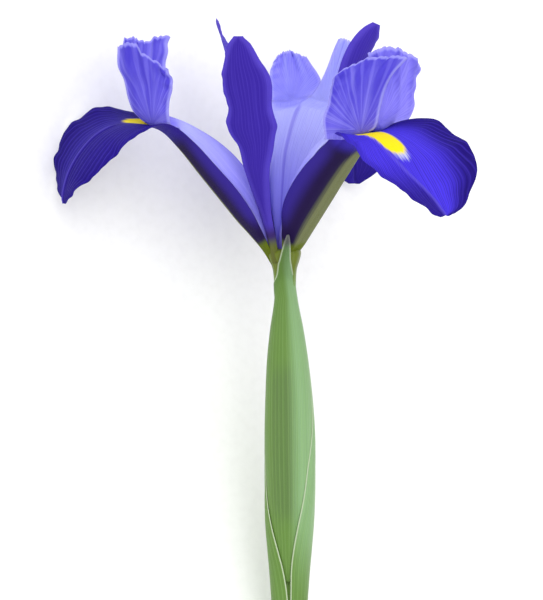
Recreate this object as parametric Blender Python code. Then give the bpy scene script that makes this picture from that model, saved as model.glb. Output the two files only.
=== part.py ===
"""A cut blue iris (Iris x hollandica) lying on a flat surface, life size.

The flower is drawn upright in its own frame, in millimetres: the petals meet at the origin and
+Z runs up the flower's axis. An empty then lays the whole flower down on the surface.
"""
import bpy
import numpy as np
from collections import namedtuple
from math import cos, radians, sin
from mathutils import Euler, Vector

MM = 0.001

# Directions round the flower's axis, in degrees anticlockwise seen from above.
FALL_AZIMUTHS = {"left": 190.0, "right": 310.0, "back": 70.0}
BRANCH_AZIMUTHS = {"left": 190.0, "right": 310.0, "back": 73.0}
STANDARD_AZIMUTHS = {"front": 250.0, "right": 10.0, "left": 130.0}

# Thickness of the living tissue, in millimetres.
FALL_THICKNESS = 0.7
STANDARD_THICKNESS = 0.55
BRANCH_THICKNESS = 0.5
SPATHE_THICKNESS = 0.45
EDGE_THINNING = 0.55

# How finely each sheet is divided, as rows along it and columns across it.
FALL_GRID = (21, 7)
STANDARD_GRID = (16, 6)
ARM_GRID = (13, 5)
LOBE_GRID = (7, 6)
OUTER_VALVE_GRID = (17, 13)
INNER_VALVE_GRID = (20, 12)
STAMEN_RINGS, STAMEN_SIDES = 20, 8
TUBE_RINGS, TUBE_SIDES = 16, 12
STEM_RINGS, STEM_SIDES = 7, 20

# The stem under the flower, in millimetres.
STEM_RADIUS = 3.3
STEM_NECK_RADIUS = 2.4
STEM_TOP = -78.0
STEM_CUT = -118.0

# A direction that no swept path runs along, which sets where its sides start.
SWEEP_REFERENCE = (0.0, 1.0, 0.02)

# How the flower lies: the azimuth that faces down, and how far its head is raised.
DOWN_AZIMUTH = 127.5
HEAD_UP = 13.6

# One cross-section of a petal: its midrib, its half widths and how far each half is lifted.
Station = namedtuple("Station", "out up drift left right left_lift right_lift")

LEFT_CLAW = [
    Station(3.2, -3.0, 0, 1.6, 1.6, 15, 20),
    Station(4.0, 0.3, 0, 2.4, 2.2, 22, 32),
    Station(6.9, 3.9, 0, 4.4, 4.4, 28, 46),
    Station(10.6, 8.0, 0, 6.6, 6.8, 30, 50),
    Station(15.0, 13.4, 0, 7.6, 7.8, 30, 46),
    Station(20.0, 19.6, 0, 7.4, 7.6, 28, 42),
    Station(25.2, 25.4, 0, 7.2, 7.4, 24, 30),
    Station(30.6, 30.0, 0, 8.0, 8.0, 12, 14),
]
RIGHT_CLAW = [
    Station(3.2, -3.0, 0, 1.6, 1.6, 10, 20),
    Station(4.0, 0.3, 0, 3.4, 2.2, 10, 32),
    Station(6.6, 3.9, 0, 5.4, 4.2, 10, 46),
    Station(10.2, 8.2, 0, 6.0, 6.8, 10, 50),
    Station(15.0, 13.5, 0, 6.4, 7.8, 12, 46),
    Station(20.2, 19.2, 0, 6.3, 7.6, 12, 42),
    Station(26.0, 25.1, 0, 6.7, 6.8, 15, 33),
    Station(31.0, 29.5, 0, 8.0, 7.2, 15, 20),
]
LEFT_BLADE = [
    Station(36.0, 32.0, 0, 10.0, 10.5, -5, 12),
    Station(41.0, 31.8, 0, 12.5, 14.0, -15, 16),
    Station(46.0, 29.5, 0, 13.0, 15.5, -20, 15),
    Station(50.0, 25.5, 0, 12.5, 14.5, -22, 15),
    Station(53.0, 20.5, 0, 10.0, 11.5, -20, 12),
    Station(54.5, 15.5, 0, 6.0, 6.0, -10, 6),
    Station(54.6, 12.5, 0, 1.5, 1.5, 0, 0),
]
RIGHT_BLADE = [
    Station(36.0, 31.4, 0, 10.5, 9.0, 15, -10),
    Station(41.0, 30.9, 0, 15.0, 10.0, 15, -12),
    Station(46.0, 28.7, 0, 16.0, 11.0, 12, -17),
    Station(50.0, 25.7, 0, 16.5, 10.5, 12, -15),
    Station(53.0, 22.3, 0, 15.7, 9.0, 15, -10),
    Station(55.8, 19.3, 0, 14.3, 7.0, 15, -6),
    Station(58.5, 16.6, 0, 11.5, 5.6, 12, 0),
    Station(61.5, 14.0, 0, 7.5, 3.8, 8, 0),
    Station(63.5, 12.5, 0, 1.5, 1.5, 0, 0),
]
FALLS = {
    "left": LEFT_CLAW + LEFT_BLADE,
    "right": RIGHT_CLAW + RIGHT_BLADE,
    "back": LEFT_CLAW + LEFT_BLADE,
}

FRONT_STANDARD = [
    Station(3.2, -3.0, 0, 0.8, 0.8, 10, 10),
    Station(3.9, 2.0, -0.2, 1.1, 1.1, 12, 12),
    Station(6.5, 8.4, -0.6, 1.5, 1.5, 15, 15),
    Station(9.4, 13.8, -1.1, 2.3, 2.3, 18, 18),
    Station(12.5, 21.0, -1.6, 3.6, 3.6, 18, 18),
    Station(14.0, 26.7, -1.3, 5.0, 5.0, 18, 18),
    Station(15.5, 31.3, -1.8, 6.9, 6.9, 15, 15),
    Station(17.0, 36.5, -1.8, 6.1, 6.1, 15, 15),
    Station(19.0, 43.0, -2.1, 6.8, 6.8, 15, 15),
    Station(20.5, 48.1, -2.1, 5.1, 5.1, 15, 15),
    Station(21.2, 52.6, -1.6, 3.2, 3.2, 12, 12),
    Station(21.4, 55.0, -1.4, 1.2, 1.2, 0, 0),
]
LEFT_STANDARD = [
    Station(3.2, -3.0, 0, 0.8, 0.8, 10, 10),
    Station(3.8, 2.0, 0, 1.1, 1.1, 20, 20),
    Station(5.6, 9.0, 0, 1.9, 1.9, 25, 25),
    Station(8.5, 18.0, 0, 3.6, 3.6, 28, 28),
    Station(11.5, 27.0, 0, 5.8, 5.8, 30, 30),
    Station(14.5, 35.5, 0, 7.4, 7.4, 30, 30),
    Station(18.0, 43.5, 0, 7.4, 7.4, 30, 30),
    Station(21.5, 50.0, 0, 5.4, 5.4, 28, 28),
    Station(24.0, 54.4, 0, 3.0, 3.0, 20, 20),
    Station(24.8, 56.4, 0, 1.2, 1.2, 10, 10),
]
RIGHT_STANDARD = [
    Station(3.2, -3.0, 0, 0.8, 0.8, 10, 10),
    Station(4.0, 2.0, 0, 1.1, 1.1, 20, 20),
    Station(5.8, 8.0, 0, 1.6, 1.6, 22, 22),
    Station(8.6, 14.0, 0, 2.0, 2.0, 22, 22),
    Station(11.8, 19.5, 0, 2.5, 2.5, 22, 22),
    Station(14.5, 25.5, 0, 3.2, 3.2, 22, 22),
    Station(16.2, 32.0, 0, 4.1, 4.1, 24, 24),
    Station(17.6, 38.5, 0, 4.9, 4.9, 24, 24),
    Station(19.4, 44.5, 0, 5.2, 5.2, 24, 24),
    Station(21.6, 50.0, 0, 4.6, 4.6, 22, 22),
    Station(23.6, 54.2, 0, 3.0, 3.0, 20, 20),
    Station(24.6, 56.4, 0, 1.2, 1.2, 10, 10),
]
STANDARDS = {"front": FRONT_STANDARD, "right": RIGHT_STANDARD, "left": LEFT_STANDARD}
STANDARD_TWISTS = {"front": 0.0, "right": -72.0, "left": 60.0}
STANDARD_CUPS = {"front": 1.0, "right": 1.0, "left": 0.3}

STYLE_ARM = [
    Station(1.2, -2.6, 0, 0.7, 0.7, -10, -10),
    Station(1.7, 3.0, 0, 1.2, 1.2, -22, -22),
    Station(3.4, 9.8, 0, 2.4, 2.4, -27, -27),
    Station(6.6, 17.0, 0, 4.4, 4.4, -28, -28),
    Station(10.7, 22.6, 0, 6.2, 6.2, -28, -28),
    Station(15.2, 26.8, 0, 7.2, 7.2, -27, -27),
    Station(20.0, 30.0, 0, 6.9, 6.9, -22, -22),
    Station(25.0, 32.6, 0, 6.0, 6.0, -20, -20),
    Station(29.8, 34.4, 0, 5.2, 5.2, -18, -18),
    Station(34.4, 35.2, 0, 4.2, 4.2, -15, -15),
]
# The back arm lies to one side and is flatter, with its right half the wider.
BACK_ARM = [
    Station(1.2, -2.6, 0.0, 0.7, 0.7, -10, -10),
    Station(1.7, 3.0, 0.2, 1.2, 1.3, -22, -15),
    Station(3.4, 9.8, 0.6, 2.2, 3.0, -25, -14),
    Station(6.6, 17.0, 1.2, 3.2, 5.5, -25, -12),
    Station(10.7, 22.6, 2.0, 3.9, 7.8, -24, -10),
    Station(15.2, 26.8, 2.4, 4.9, 9.2, -20, -8),
    Station(20.0, 30.0, 2.9, 6.0, 10.0, -16, -8),
    Station(25.0, 32.6, 3.3, 7.0, 10.2, -12, -8),
    Station(29.8, 34.6, 3.4, 6.5, 9.5, -10, -8),
    Station(34.4, 35.8, 2.4, 4.6, 7.0, -8, -8),
]
ARMS = {"left": STYLE_ARM, "right": STYLE_ARM, "back": BACK_ARM}
# A crest lobe, by its corners as (out, side, up), and how far its middle stands proud.
Lobe = namedtuple("Lobe", "low_front low_rear top_front top_rear bulge")
CRESTS = {
    "left": [
        Lobe((35.6, 1.0, 33.4), (26.8, 5.6, 32.4), (42.2, 4.5, 54.6), (27.2, 10.5, 48.6), 2.0),
        Lobe((35.0, -1.0, 33.6), (27.0, -5.2, 32.6), (38.4, -2.5, 54.6), (25.8, -11.0, 54.0), -2.0),
    ],
    "right": [
        Lobe((35.6, 0.4, 33.2), (25.3, -6.8, 32.2), (41.8, 7.4, 52.4), (26.0, -5.8, 47.6), -2.0),
        Lobe((34.6, 2.0, 33.6), (30.0, 16.0, 34.2), (33.4, 2.4, 54.0), (32.8, 19.6, 48.4), 2.0),
    ],
    "back": [
        Lobe((35.2, 1.4, 34.6), (28.4, 10.6, 34.2), (34.2, 3.0, 47.2), (30.0, 11.2, 46.8), 1.5),
        Lobe((35.0, 0.8, 34.6), (27.6, -6.8, 34.6), (34.6, -4.2, 52.0), (31.0, -9.8, 51.0), -1.2),
    ],
}

# How much a lobe's top corners are drawn in and rounded down, as parts of its width and height.
LOBE_NARROWING = 0.22
LOBE_ROUNDING = 0.12

# A stamen's path as (out, up) and its radius: a thin filament, then the long anther.
STAMEN = [
    (2.15, -2.6, 0.33),
    (2.9, 2.5, 0.33),
    (5.0, 8.6, 0.36),
    (8.6, 13.8, 0.38),
    (12.6, 18.2, 0.4),
    (14.4, 20.0, 0.85),
    (18.0, 23.2, 0.95),
    (21.5, 26.2, 0.9),
    (24.0, 28.2, 0.4),
]

# The lower parts stand on a slightly leaning axis: height, then the axis's x.
AXIS = [(-120.0, 2.4), (-60.0, 2.4), (-35.0, 2.1), (-12.0, 1.5), (-3.0, 0.4), (8.0, 0.0)]
TUBE_PROFILE = [
    (-3.6, 3.6),
    (-4.7, 2.95),
    (-6.4, 2.35),
    (-8.6, 2.1),
    (-12.0, 2.0),
    (-20.0, 2.3),
    (-30.0, 2.6),
    (-48.0, 3.0),
    (-65.0, 2.8),
    (-77.7, 2.3),
]
STEM_PROFILE = [
    (STEM_TOP, STEM_NECK_RADIUS),
    (-84.0, 2.9),
    (-90.0, STEM_RADIUS),
    (-104.0, STEM_RADIUS),
    (STEM_CUT, STEM_RADIUS),
]
# A sheathing valve, row by row: height, radius, and the azimuths of its two margins.
OUTER_VALVE = [
    (-92.0, 4.1, -88, 266),
    (-86.0, 4.5, -87, 262),
    (-80.0, 4.95, -86, 250),
    (-75.0, 5.4, -80, 235),
    (-69.0, 5.9, -69, 216),
    (-62.0, 6.2, -54, 196),
    (-54.0, 6.35, -40, 182),
    (-45.0, 6.45, -18, 172),
    (-36.0, 6.15, 0, 166),
    (-28.0, 5.6, 10, 160),
    (-20.0, 4.7, 28, 142),
    (-15.0, 3.9, 62, 112),
]
INNER_VALVE = [
    (-83.0, 3.6, 150, 390),
    (-77.0, 4.3, 140, 400),
    (-70.0, 4.95, 135, 405),
    (-60.0, 5.48, 130, 410),
    (-48.0, 5.67, 128, 412),
    (-37.0, 5.4, 126, 414),
    (-28.0, 4.85, 122, 418),
    (-20.0, 3.92, 118, 422),
    (-13.0, 2.8, 116, 424),
    (-9.0, 2.65, 180, 380),
    (-6.2, 3.0, 235, 328),
    (-3.0, 4.3, 258, 304),
    (0.0, 5.4, 270, 296),
    (4.5, 8.3, 281, 285),
]


def clear_scene():
    for thing in list(bpy.data.objects):
        bpy.data.objects.remove(thing, do_unlink=True)


def plant_material(name, colour, roughness):
    material = bpy.data.materials.new(name)
    material.use_nodes = True
    shader = material.node_tree.nodes["Principled BSDF"]
    shader.inputs["Base Color"].default_value = (*colour, 1.0)
    shader.inputs["Roughness"].default_value = roughness
    shader.inputs["Metallic"].default_value = 0.0
    material.diffuse_color = (*colour, 1.0)
    return material


def smooth(values, count):
    """Reads a smooth curve through the rows of values at count even steps."""
    values = np.asarray(values, float)
    ends = np.vstack([2 * values[0] - values[1], values, 2 * values[-1] - values[-2]])
    place = np.linspace(0, len(values) - 1, count)
    index = np.minimum(place.astype(int), len(values) - 2)
    part = (place - index)[:, None]
    a, b, c, d = (ends[index + step] for step in range(4))
    bend = (2 * a - 5 * b + 4 * c - d) * part**2 + (3 * b - a - 3 * c + d) * part**3
    return 0.5 * (2 * b + (c - a) * part + bend)


def unit(vectors):
    return vectors / np.linalg.norm(vectors, axis=-1, keepdims=True)


def turned(points, azimuth):
    """Takes (out, side, up) to the flower's x, y, z."""
    angle = radians(azimuth)
    out, side, up = points[..., 0], points[..., 1], points[..., 2]
    x = out * cos(angle) - side * sin(angle)
    y = out * sin(angle) + side * cos(angle)
    return np.stack([x, y, up], axis=-1)


def petal_grid(stations, azimuth, size, twist=0.0, cup=1.0):
    """Rows of points across a petal, from its base to its tip."""
    rows, columns = size
    values = smooth(stations, rows)
    spine = values[:, [0, 2, 1]]
    along = unit(np.gradient(spine, axis=0))
    side = np.array([0.0, 1.0, 0.0]) - along * along[:, 1:2]
    side = unit(side)
    normal = np.cross(along, side)
    turn = np.radians(twist) * np.linspace(0, 1, rows)[:, None] ** 1.5
    across = side * np.cos(turn) + normal * np.sin(turn)
    raised = np.cross(along, across)
    grid = np.zeros((rows, columns, 3))
    for column, v in enumerate(np.linspace(-1, 1, columns)):
        half = abs(v) * (values[:, 3:4] if v > 0 else values[:, 4:5])
        lift = np.radians(values[:, 5:6] if v > 0 else values[:, 6:7]) * cup * abs(v)
        sideways = np.sign(v) * half * np.cos(lift)
        grid[:, column] = spine + sideways * across + half * np.sin(lift) * raised
    return turned(grid, azimuth)


def lobe_grid(lobe, azimuth):
    """A crest lobe: a fan with rounded top corners, cupped along its middle."""
    front_low, rear_low = Vector(lobe.low_front), Vector(lobe.low_rear)
    front_top, rear_top = Vector(lobe.top_front), Vector(lobe.top_rear)
    proud = (rear_low - front_low).cross(front_top - front_low).normalized() * lobe.bulge
    rows, columns = LOBE_GRID
    grid = np.zeros((rows, columns, 3))
    for row, u in enumerate(np.linspace(0, 1, rows)):
        for column, v in enumerate(np.linspace(0, 1, columns)):
            inward = v + (0.5 - v) * LOBE_NARROWING * u**8
            height = u * (1 - LOBE_ROUNDING * abs(2 * v - 1) ** 3)
            low = front_low.lerp(rear_low, inward)
            top = front_top.lerp(rear_top, inward)
            grid[row, column] = low.lerp(top, height) + proud * sin(np.pi * v) * u
    return turned(grid, azimuth)


def add_object(name, points, faces, material, parent):
    mesh = bpy.data.meshes.new(name)
    mesh.from_pydata([tuple(point) for point in np.asarray(points) * MM], [], faces)
    mesh.materials.append(material)
    mesh.shade_smooth()
    thing = bpy.data.objects.new(name, mesh)
    bpy.context.scene.collection.objects.link(thing)
    thing.parent = parent
    return thing


def shell(name, grid, thickness, material, parent):
    """A thin closed sheet round a grid of points, thinner along its edges."""
    rows, columns = grid.shape[:2]
    normal = unit(np.cross(np.gradient(grid, axis=0), np.gradient(grid, axis=1)))
    half = np.full((rows, columns, 1), thickness / 2)
    half[[0, -1]] *= EDGE_THINNING
    half[1:-1, [0, -1]] *= EDGE_THINNING
    upper = (grid + normal * half).reshape(-1, 3)
    lower = (grid - normal * half).reshape(-1, 3)
    points = np.concatenate([upper, lower])
    under = rows * columns
    faces = []
    for row in range(rows - 1):
        for column in range(columns - 1):
            a = row * columns + column
            b, c, d = a + columns, a + columns + 1, a + 1
            faces.append((a, b, c, d))
            faces.append((a + under, d + under, c + under, b + under))
    edge = list(range(columns)) + [row * columns + columns - 1 for row in range(1, rows)]
    edge += [under - 2 - step for step in range(columns - 1)]
    edge += [row * columns for row in range(rows - 2, 0, -1)]
    for a, b in zip(edge, edge[1:] + edge[:1]):
        faces.append((a, b, b + under, a + under))
    return add_object(name, points, faces, material, parent)


def swept(name, path, radii, sides, material, parent):
    """A round body along a path, closed at both ends."""
    along = unit(np.gradient(path, axis=0))
    first = unit(np.cross(along, SWEEP_REFERENCE))
    second = np.cross(along, first)
    points = []
    for centre, a, b, radius in zip(path, first, second, radii):
        for step in range(sides):
            angle = 2 * np.pi * step / sides
            points.append(centre + radius * (a * cos(angle) + b * sin(angle)))
    faces = [tuple(range(sides))[::-1]]
    for ring in range(len(path) - 1):
        for step in range(sides):
            a, b = ring * sides + step, ring * sides + (step + 1) % sides
            faces.append((a, b, b + sides, a + sides))
    faces.append(tuple(range((len(path) - 1) * sides, len(path) * sides)))
    return add_object(name, points, faces, material, parent)


def axis_x(height):
    """Where the leaning axis stands at this height."""
    heights, places = zip(*AXIS)
    return np.interp(height, heights, places)


def turned_body(name, profile, rows, sides, material, parent):
    """A round body on the leaning axis, from its bottom to its top."""
    values = smooth(profile[::-1], rows)
    path = np.stack([axis_x(values[:, 0]), np.zeros(rows), values[:, 0]], axis=-1)
    return swept(name, path, values[:, 1], sides, material, parent)


def valve_grid(valve, size):
    """A sheathing leaf wrapped round the axis, from one margin to the other."""
    rows, columns = size
    values = smooth(valve, rows)
    grid = np.zeros((rows, columns, 3))
    for column, v in enumerate(np.linspace(0, 1, columns)):
        angle = np.radians(values[:, 2] + (values[:, 3] - values[:, 2]) * v)
        grid[:, column, 0] = axis_x(values[:, 0]) + values[:, 1] * np.cos(angle)
        grid[:, column, 1] = values[:, 1] * np.sin(angle)
        grid[:, column, 2] = values[:, 0]
    return grid


def build_falls(material, parent):
    for side, azimuth in FALL_AZIMUTHS.items():
        grid = petal_grid(FALLS[side], azimuth, FALL_GRID)
        shell("fall_" + side, grid, FALL_THICKNESS, material, parent)


def build_standards(material, parent):
    for side, azimuth in STANDARD_AZIMUTHS.items():
        twist, cup = STANDARD_TWISTS[side], STANDARD_CUPS[side]
        grid = petal_grid(STANDARDS[side], azimuth, STANDARD_GRID, twist=twist, cup=cup)
        shell("standard_" + side, grid, STANDARD_THICKNESS, material, parent)


def build_style_branch(side, material, parent):
    azimuth = BRANCH_AZIMUTHS[side]
    arm_grid = petal_grid(ARMS[side], azimuth, ARM_GRID)
    arm = shell("style_branch_" + side, arm_grid, BRANCH_THICKNESS, material, parent)
    for number, lobe in enumerate(CRESTS[side], 1):
        name = "crest_lobe_%s_%d" % (side, number)
        piece = shell(name, lobe_grid(lobe, azimuth), BRANCH_THICKNESS, material, parent)
        piece.hide_render = True
        piece.display_type = "WIRE"
        join = arm.modifiers.new(name, "BOOLEAN")
        join.operation = "UNION"
        join.solver = "EXACT"
        join.object = piece


def build_stamen(side, material, parent):
    values = smooth(STAMEN, STAMEN_RINGS)
    path = np.stack([values[:, 0], np.zeros(STAMEN_RINGS), values[:, 1]], axis=-1)
    path = turned(path, BRANCH_AZIMUTHS[side])
    swept("stamen_" + side, path, values[:, 2], STAMEN_SIDES, material, parent)


def build_stalk(parent):
    tube = plant_material("floral_tube_tissue", (0.30, 0.42, 0.12), 0.45)
    valve = plant_material("spathe_leaf", (0.24, 0.42, 0.14), 0.5)
    stem = plant_material("stem_skin", (0.22, 0.38, 0.13), 0.5)
    turned_body("floral_tube", TUBE_PROFILE, TUBE_RINGS, TUBE_SIDES, tube, parent)
    turned_body("stem", STEM_PROFILE, STEM_RINGS, STEM_SIDES, stem, parent)
    outer_grid = valve_grid(OUTER_VALVE, OUTER_VALVE_GRID)
    inner_grid = valve_grid(INNER_VALVE, INNER_VALVE_GRID)
    shell("spathe_outer", outer_grid, SPATHE_THICKNESS, valve, parent)
    shell("spathe_inner", inner_grid, SPATHE_THICKNESS, valve, parent)


def lay_down(parent):
    """Rolls the flower onto its left and back falls and rests it on z = 0."""
    roll = Euler((0.0, 0.0, radians(90.0 - DOWN_AZIMUTH))).to_matrix()
    tip = Euler((radians(-90.0 + HEAD_UP), 0.0, 0.0)).to_matrix()
    parent.rotation_euler = (tip @ roll).to_euler()
    bpy.context.view_layer.update()
    corners = []
    for child in parent.children:
        if not child.hide_render:
            corners += [child.matrix_world @ vertex.co for vertex in child.data.vertices]
    low = [min(corner[axis] for corner in corners) for axis in range(3)]
    high = [max(corner[axis] for corner in corners) for axis in range(3)]
    parent.location = (-(low[0] + high[0]) / 2, -(low[1] + high[1]) / 2, -low[2])


def main():
    clear_scene()
    flower = bpy.data.objects.new("flower_axis", None)
    bpy.context.scene.collection.objects.link(flower)
    build_falls(plant_material("fall_petal", (0.05, 0.02, 0.35), 0.55), flower)
    build_standards(plant_material("standard_petal", (0.09, 0.04, 0.50), 0.5), flower)
    branch = plant_material("style_petal", (0.33, 0.30, 0.85), 0.5)
    pollen = plant_material("stamen_tissue", (0.75, 0.68, 0.72), 0.6)
    for side in BRANCH_AZIMUTHS:
        build_style_branch(side, branch, flower)
        build_stamen(side, pollen, flower)
    build_stalk(flower)
    lay_down(flower)


main()
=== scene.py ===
# %% [markdown]
# # A cut blue iris, lying where it was put down
#
# The CAD model gives every petal, leaf and stalk its true size and place. This lesson draws each
# of them again as living tissue: thin sheets that thin out at their margins, with ruffles, veins
# in relief, folds and a colour that changes along and across the petal.
# Everything is drawn in the flower's own frame, in millimetres, where the petals meet at the
# origin and +Z runs up the flower. One function then lays it down on the table.

from collections import namedtuple

import bpy
import numpy as np
from mathutils import Euler, Matrix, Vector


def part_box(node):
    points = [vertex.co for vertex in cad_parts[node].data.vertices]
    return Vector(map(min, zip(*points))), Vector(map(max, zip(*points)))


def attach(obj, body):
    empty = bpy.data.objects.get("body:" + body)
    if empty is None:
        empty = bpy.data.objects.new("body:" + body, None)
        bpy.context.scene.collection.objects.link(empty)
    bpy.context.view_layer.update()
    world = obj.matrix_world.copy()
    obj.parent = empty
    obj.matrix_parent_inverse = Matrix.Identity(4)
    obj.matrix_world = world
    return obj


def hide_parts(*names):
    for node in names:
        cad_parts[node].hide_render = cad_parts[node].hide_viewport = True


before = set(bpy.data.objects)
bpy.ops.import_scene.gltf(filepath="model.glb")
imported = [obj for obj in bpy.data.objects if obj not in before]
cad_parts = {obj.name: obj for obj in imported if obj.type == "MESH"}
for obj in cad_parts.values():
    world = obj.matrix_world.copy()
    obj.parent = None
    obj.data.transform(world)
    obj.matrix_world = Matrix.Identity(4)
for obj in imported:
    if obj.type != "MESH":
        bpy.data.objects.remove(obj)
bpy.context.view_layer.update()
print("CAD pieces:", ", ".join(sorted(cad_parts)))

# %% [markdown]
# ## Curves through measured points
#
# A petal is measured as a few cross-sections from its base to its tip. A Catmull-Rom curve runs
# through all of them, so the petal passes through each measured place and is smooth between
# them. Polygons straight between the sections would show as facets on such a thin, shiny sheet.

# %% Smooth curves and small vector tools
MM = 0.001


def smooth(values, count):
    """Reads a smooth curve through the rows of values at count even steps."""
    values = np.asarray(values, float)
    ends = np.vstack([2 * values[0] - values[1], values, 2 * values[-1] - values[-2]])
    place = np.linspace(0, len(values) - 1, count)
    index = np.minimum(place.astype(int), len(values) - 2)
    part = (place - index)[:, None]
    a, b, c, d = (ends[index + step] for step in range(4))
    bend = (2 * a - 5 * b + 4 * c - d) * part**2 + (3 * b - a - 3 * c + d) * part**3
    return 0.5 * (2 * b + (c - a) * part + bend)


def unit(vectors):
    length = np.linalg.norm(vectors, axis=-1, keepdims=True)
    return vectors / np.maximum(length, 1e-12)


def turned(points, azimuth):
    """Takes (out, side, up) of one petal to the flower's x, y, z."""
    angle = np.radians(azimuth)
    out, side, up = points[..., 0], points[..., 1], points[..., 2]
    x = out * np.cos(angle) - side * np.sin(angle)
    y = out * np.sin(angle) + side * np.cos(angle)
    return np.stack([x, y, up], axis=-1)


def rise(value, low, high):
    """0 below low, 1 above high, and a soft step between them."""
    part = np.clip((value - low) / (high - low), 0, 1)
    return part * part * (3 - 2 * part)


print("halfway from 0 through 1 to 3, the curve reads", smooth([[0], [1], [3]], 3)[1, 0])

# %% [markdown]
# ## Laying the flower down
#
# The cut flower rolls until two of its drooping petals and the end of its stem touch the table.
# The CAD model was laid down with the same two turns. Its stem is 7 rings of 20 points, so the
# same rings, turned in the same way, show how far it was moved: the two boxes have to match.

# %% The flower's place on the table
DOWN_AZIMUTH = 127.5
HEAD_UP = 13.6
ROLL = Euler((0.0, 0.0, np.radians(90.0 - DOWN_AZIMUTH))).to_matrix()
TIP = Euler((np.radians(-90.0 + HEAD_UP), 0.0, 0.0)).to_matrix()
TURN = np.array(TIP @ ROLL)

# The lower parts stand on a slightly leaning axis: height, then the axis's x.
AXIS = [(-120.0, 2.4), (-60.0, 2.4), (-35.0, 2.1), (-12.0, 1.5), (-3.0, 0.4), (8.0, 0.0)]
STEM_PROFILE = [(-78.0, 2.4), (-84.0, 2.9), (-90.0, 3.3), (-104.0, 3.3), (-118.0, 3.3)]


def axis_x(height):
    heights, places = zip(*AXIS)
    return np.interp(height, heights, places)


def stem_rings():
    """The CAD stem's own points, in the flower's frame."""
    values = smooth(STEM_PROFILE[::-1], 7)
    path = np.stack([axis_x(values[:, 0]), np.zeros(7), values[:, 0]], axis=-1)
    along = unit(np.gradient(path, axis=0))
    first = unit(np.cross(along, (0.0, 1.0, 0.02)))
    second = np.cross(along, first)
    angles = 2 * np.pi * np.arange(20) / 20
    rings = [c + r * (np.outer(np.cos(angles), a) + np.outer(np.sin(angles), b))
             for c, r, a, b in zip(path, values[:, 1], first, second)]
    return np.concatenate(rings) * MM


rings = stem_rings() @ TURN.T
stem_low, stem_high = (np.array(corner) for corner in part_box("stem"))
SHIFT = (stem_low + stem_high - rings.min(0) - rings.max(0)) / 2
misfit = np.abs(stem_high - stem_low - (rings.max(0) - rings.min(0))).max()


def laid(points):
    """Takes points from the flower's frame, in mm, to the table, in metres."""
    return np.asarray(points) * MM @ TURN.T + SHIFT


print("moved by, mm:", np.round(SHIFT * 1000, 2), "misfit, mm:", round(misfit * 1000, 4))

# %% [markdown]
# ## From a sheet of points to a thin petal
#
# A petal has two faces and a rounded thin rim. Solidify could do this, but here each face also
# has to remember where on the petal it is, because the veins and colours follow the petal. So
# the thickness is added by hand: each point moves half the thickness along its normal for the
# upper face, and the other way for the under face, and the open edge is closed with a strip.
# The facts are kept as named attributes, which both Geometry Nodes and materials can read.

# %% Thin closed sheets
def point_normals(points, quads):
    normal = np.zeros_like(points)
    a, b, c, d = (points[quads[:, corner]] for corner in range(4))
    face = np.cross(c - a, d - b)
    for corner in range(4):
        np.add.at(normal, quads[:, corner], face)
    return unit(normal)


def open_edges(quads):
    """The edges used by one face only, in that face's direction."""
    used = {}
    for quad in quads.tolist():
        for a, b in zip(quad, quad[1:] + quad[:1]):
            key = (min(a, b), max(a, b))
            used[key] = None if key in used else (a, b)
    return [edge for edge in used.values() if edge]


def grid_quads(index):
    """The faces of a grid whose points have these index numbers."""
    corners = [index[:-1, :-1], index[1:, :-1], index[1:, 1:], index[:-1, 1:]]
    return np.stack(corners, axis=-1).reshape(-1, 4)


def add_piece(name, points, faces, facts):
    """A mesh object, laid on the table, with its facts as point attributes."""
    mesh = bpy.data.meshes.new(name)
    mesh.from_pydata(laid(points).tolist(), [], [list(face) for face in faces])
    for fact, values in facts.items():
        attribute = mesh.attributes.new(fact, "FLOAT", "POINT")
        attribute.data.foreach_set("value", np.asarray(values, np.float32).ravel())
    mesh.shade_smooth()
    piece = bpy.data.objects.new(name, mesh)
    bpy.context.scene.collection.objects.link(piece)
    return piece


def thin_sheet(name, points, quads, half_thickness, facts):
    """Both faces and the rim of a sheet, given its middle surface."""
    normal = point_normals(points, quads)
    half = np.asarray(half_thickness).reshape(-1, 1)
    both = np.concatenate([points + normal * half, points - normal * half])
    count = len(points)
    faces = quads.tolist() + (quads[:, ::-1] + count).tolist()
    faces += [[b, a, a + count, b + count] for a, b in open_edges(quads)]
    facts = {fact: np.tile(np.ravel(values), 2) for fact, values in facts.items()}
    facts["under"] = np.repeat([0.0, 1.0], count)
    return add_piece(name, both, faces, facts)


small_grid = grid_quads(np.arange(9).reshape(3, 3))
print("3 by 3 points:", len(small_grid), "faces and", len(open_edges(small_grid)), "rim edges")

# %% [markdown]
# ## The cross-sections of a petal
#
# Each section, or station, gives the midrib's place, the width of each half and how far that
# half is lifted, in degrees. Where a half hangs down, it leaves the midrib in a sharp crease and
# then runs flat, as a folded petal does. A lifted half curves all the way, like a spoon.

# %% Petals from stations
Station = namedtuple("Station", "out up drift left right left_lift right_lift")
Petal = namedtuple("Petal", "grid along across margin values")

CREASE_POWER = 0.55


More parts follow.
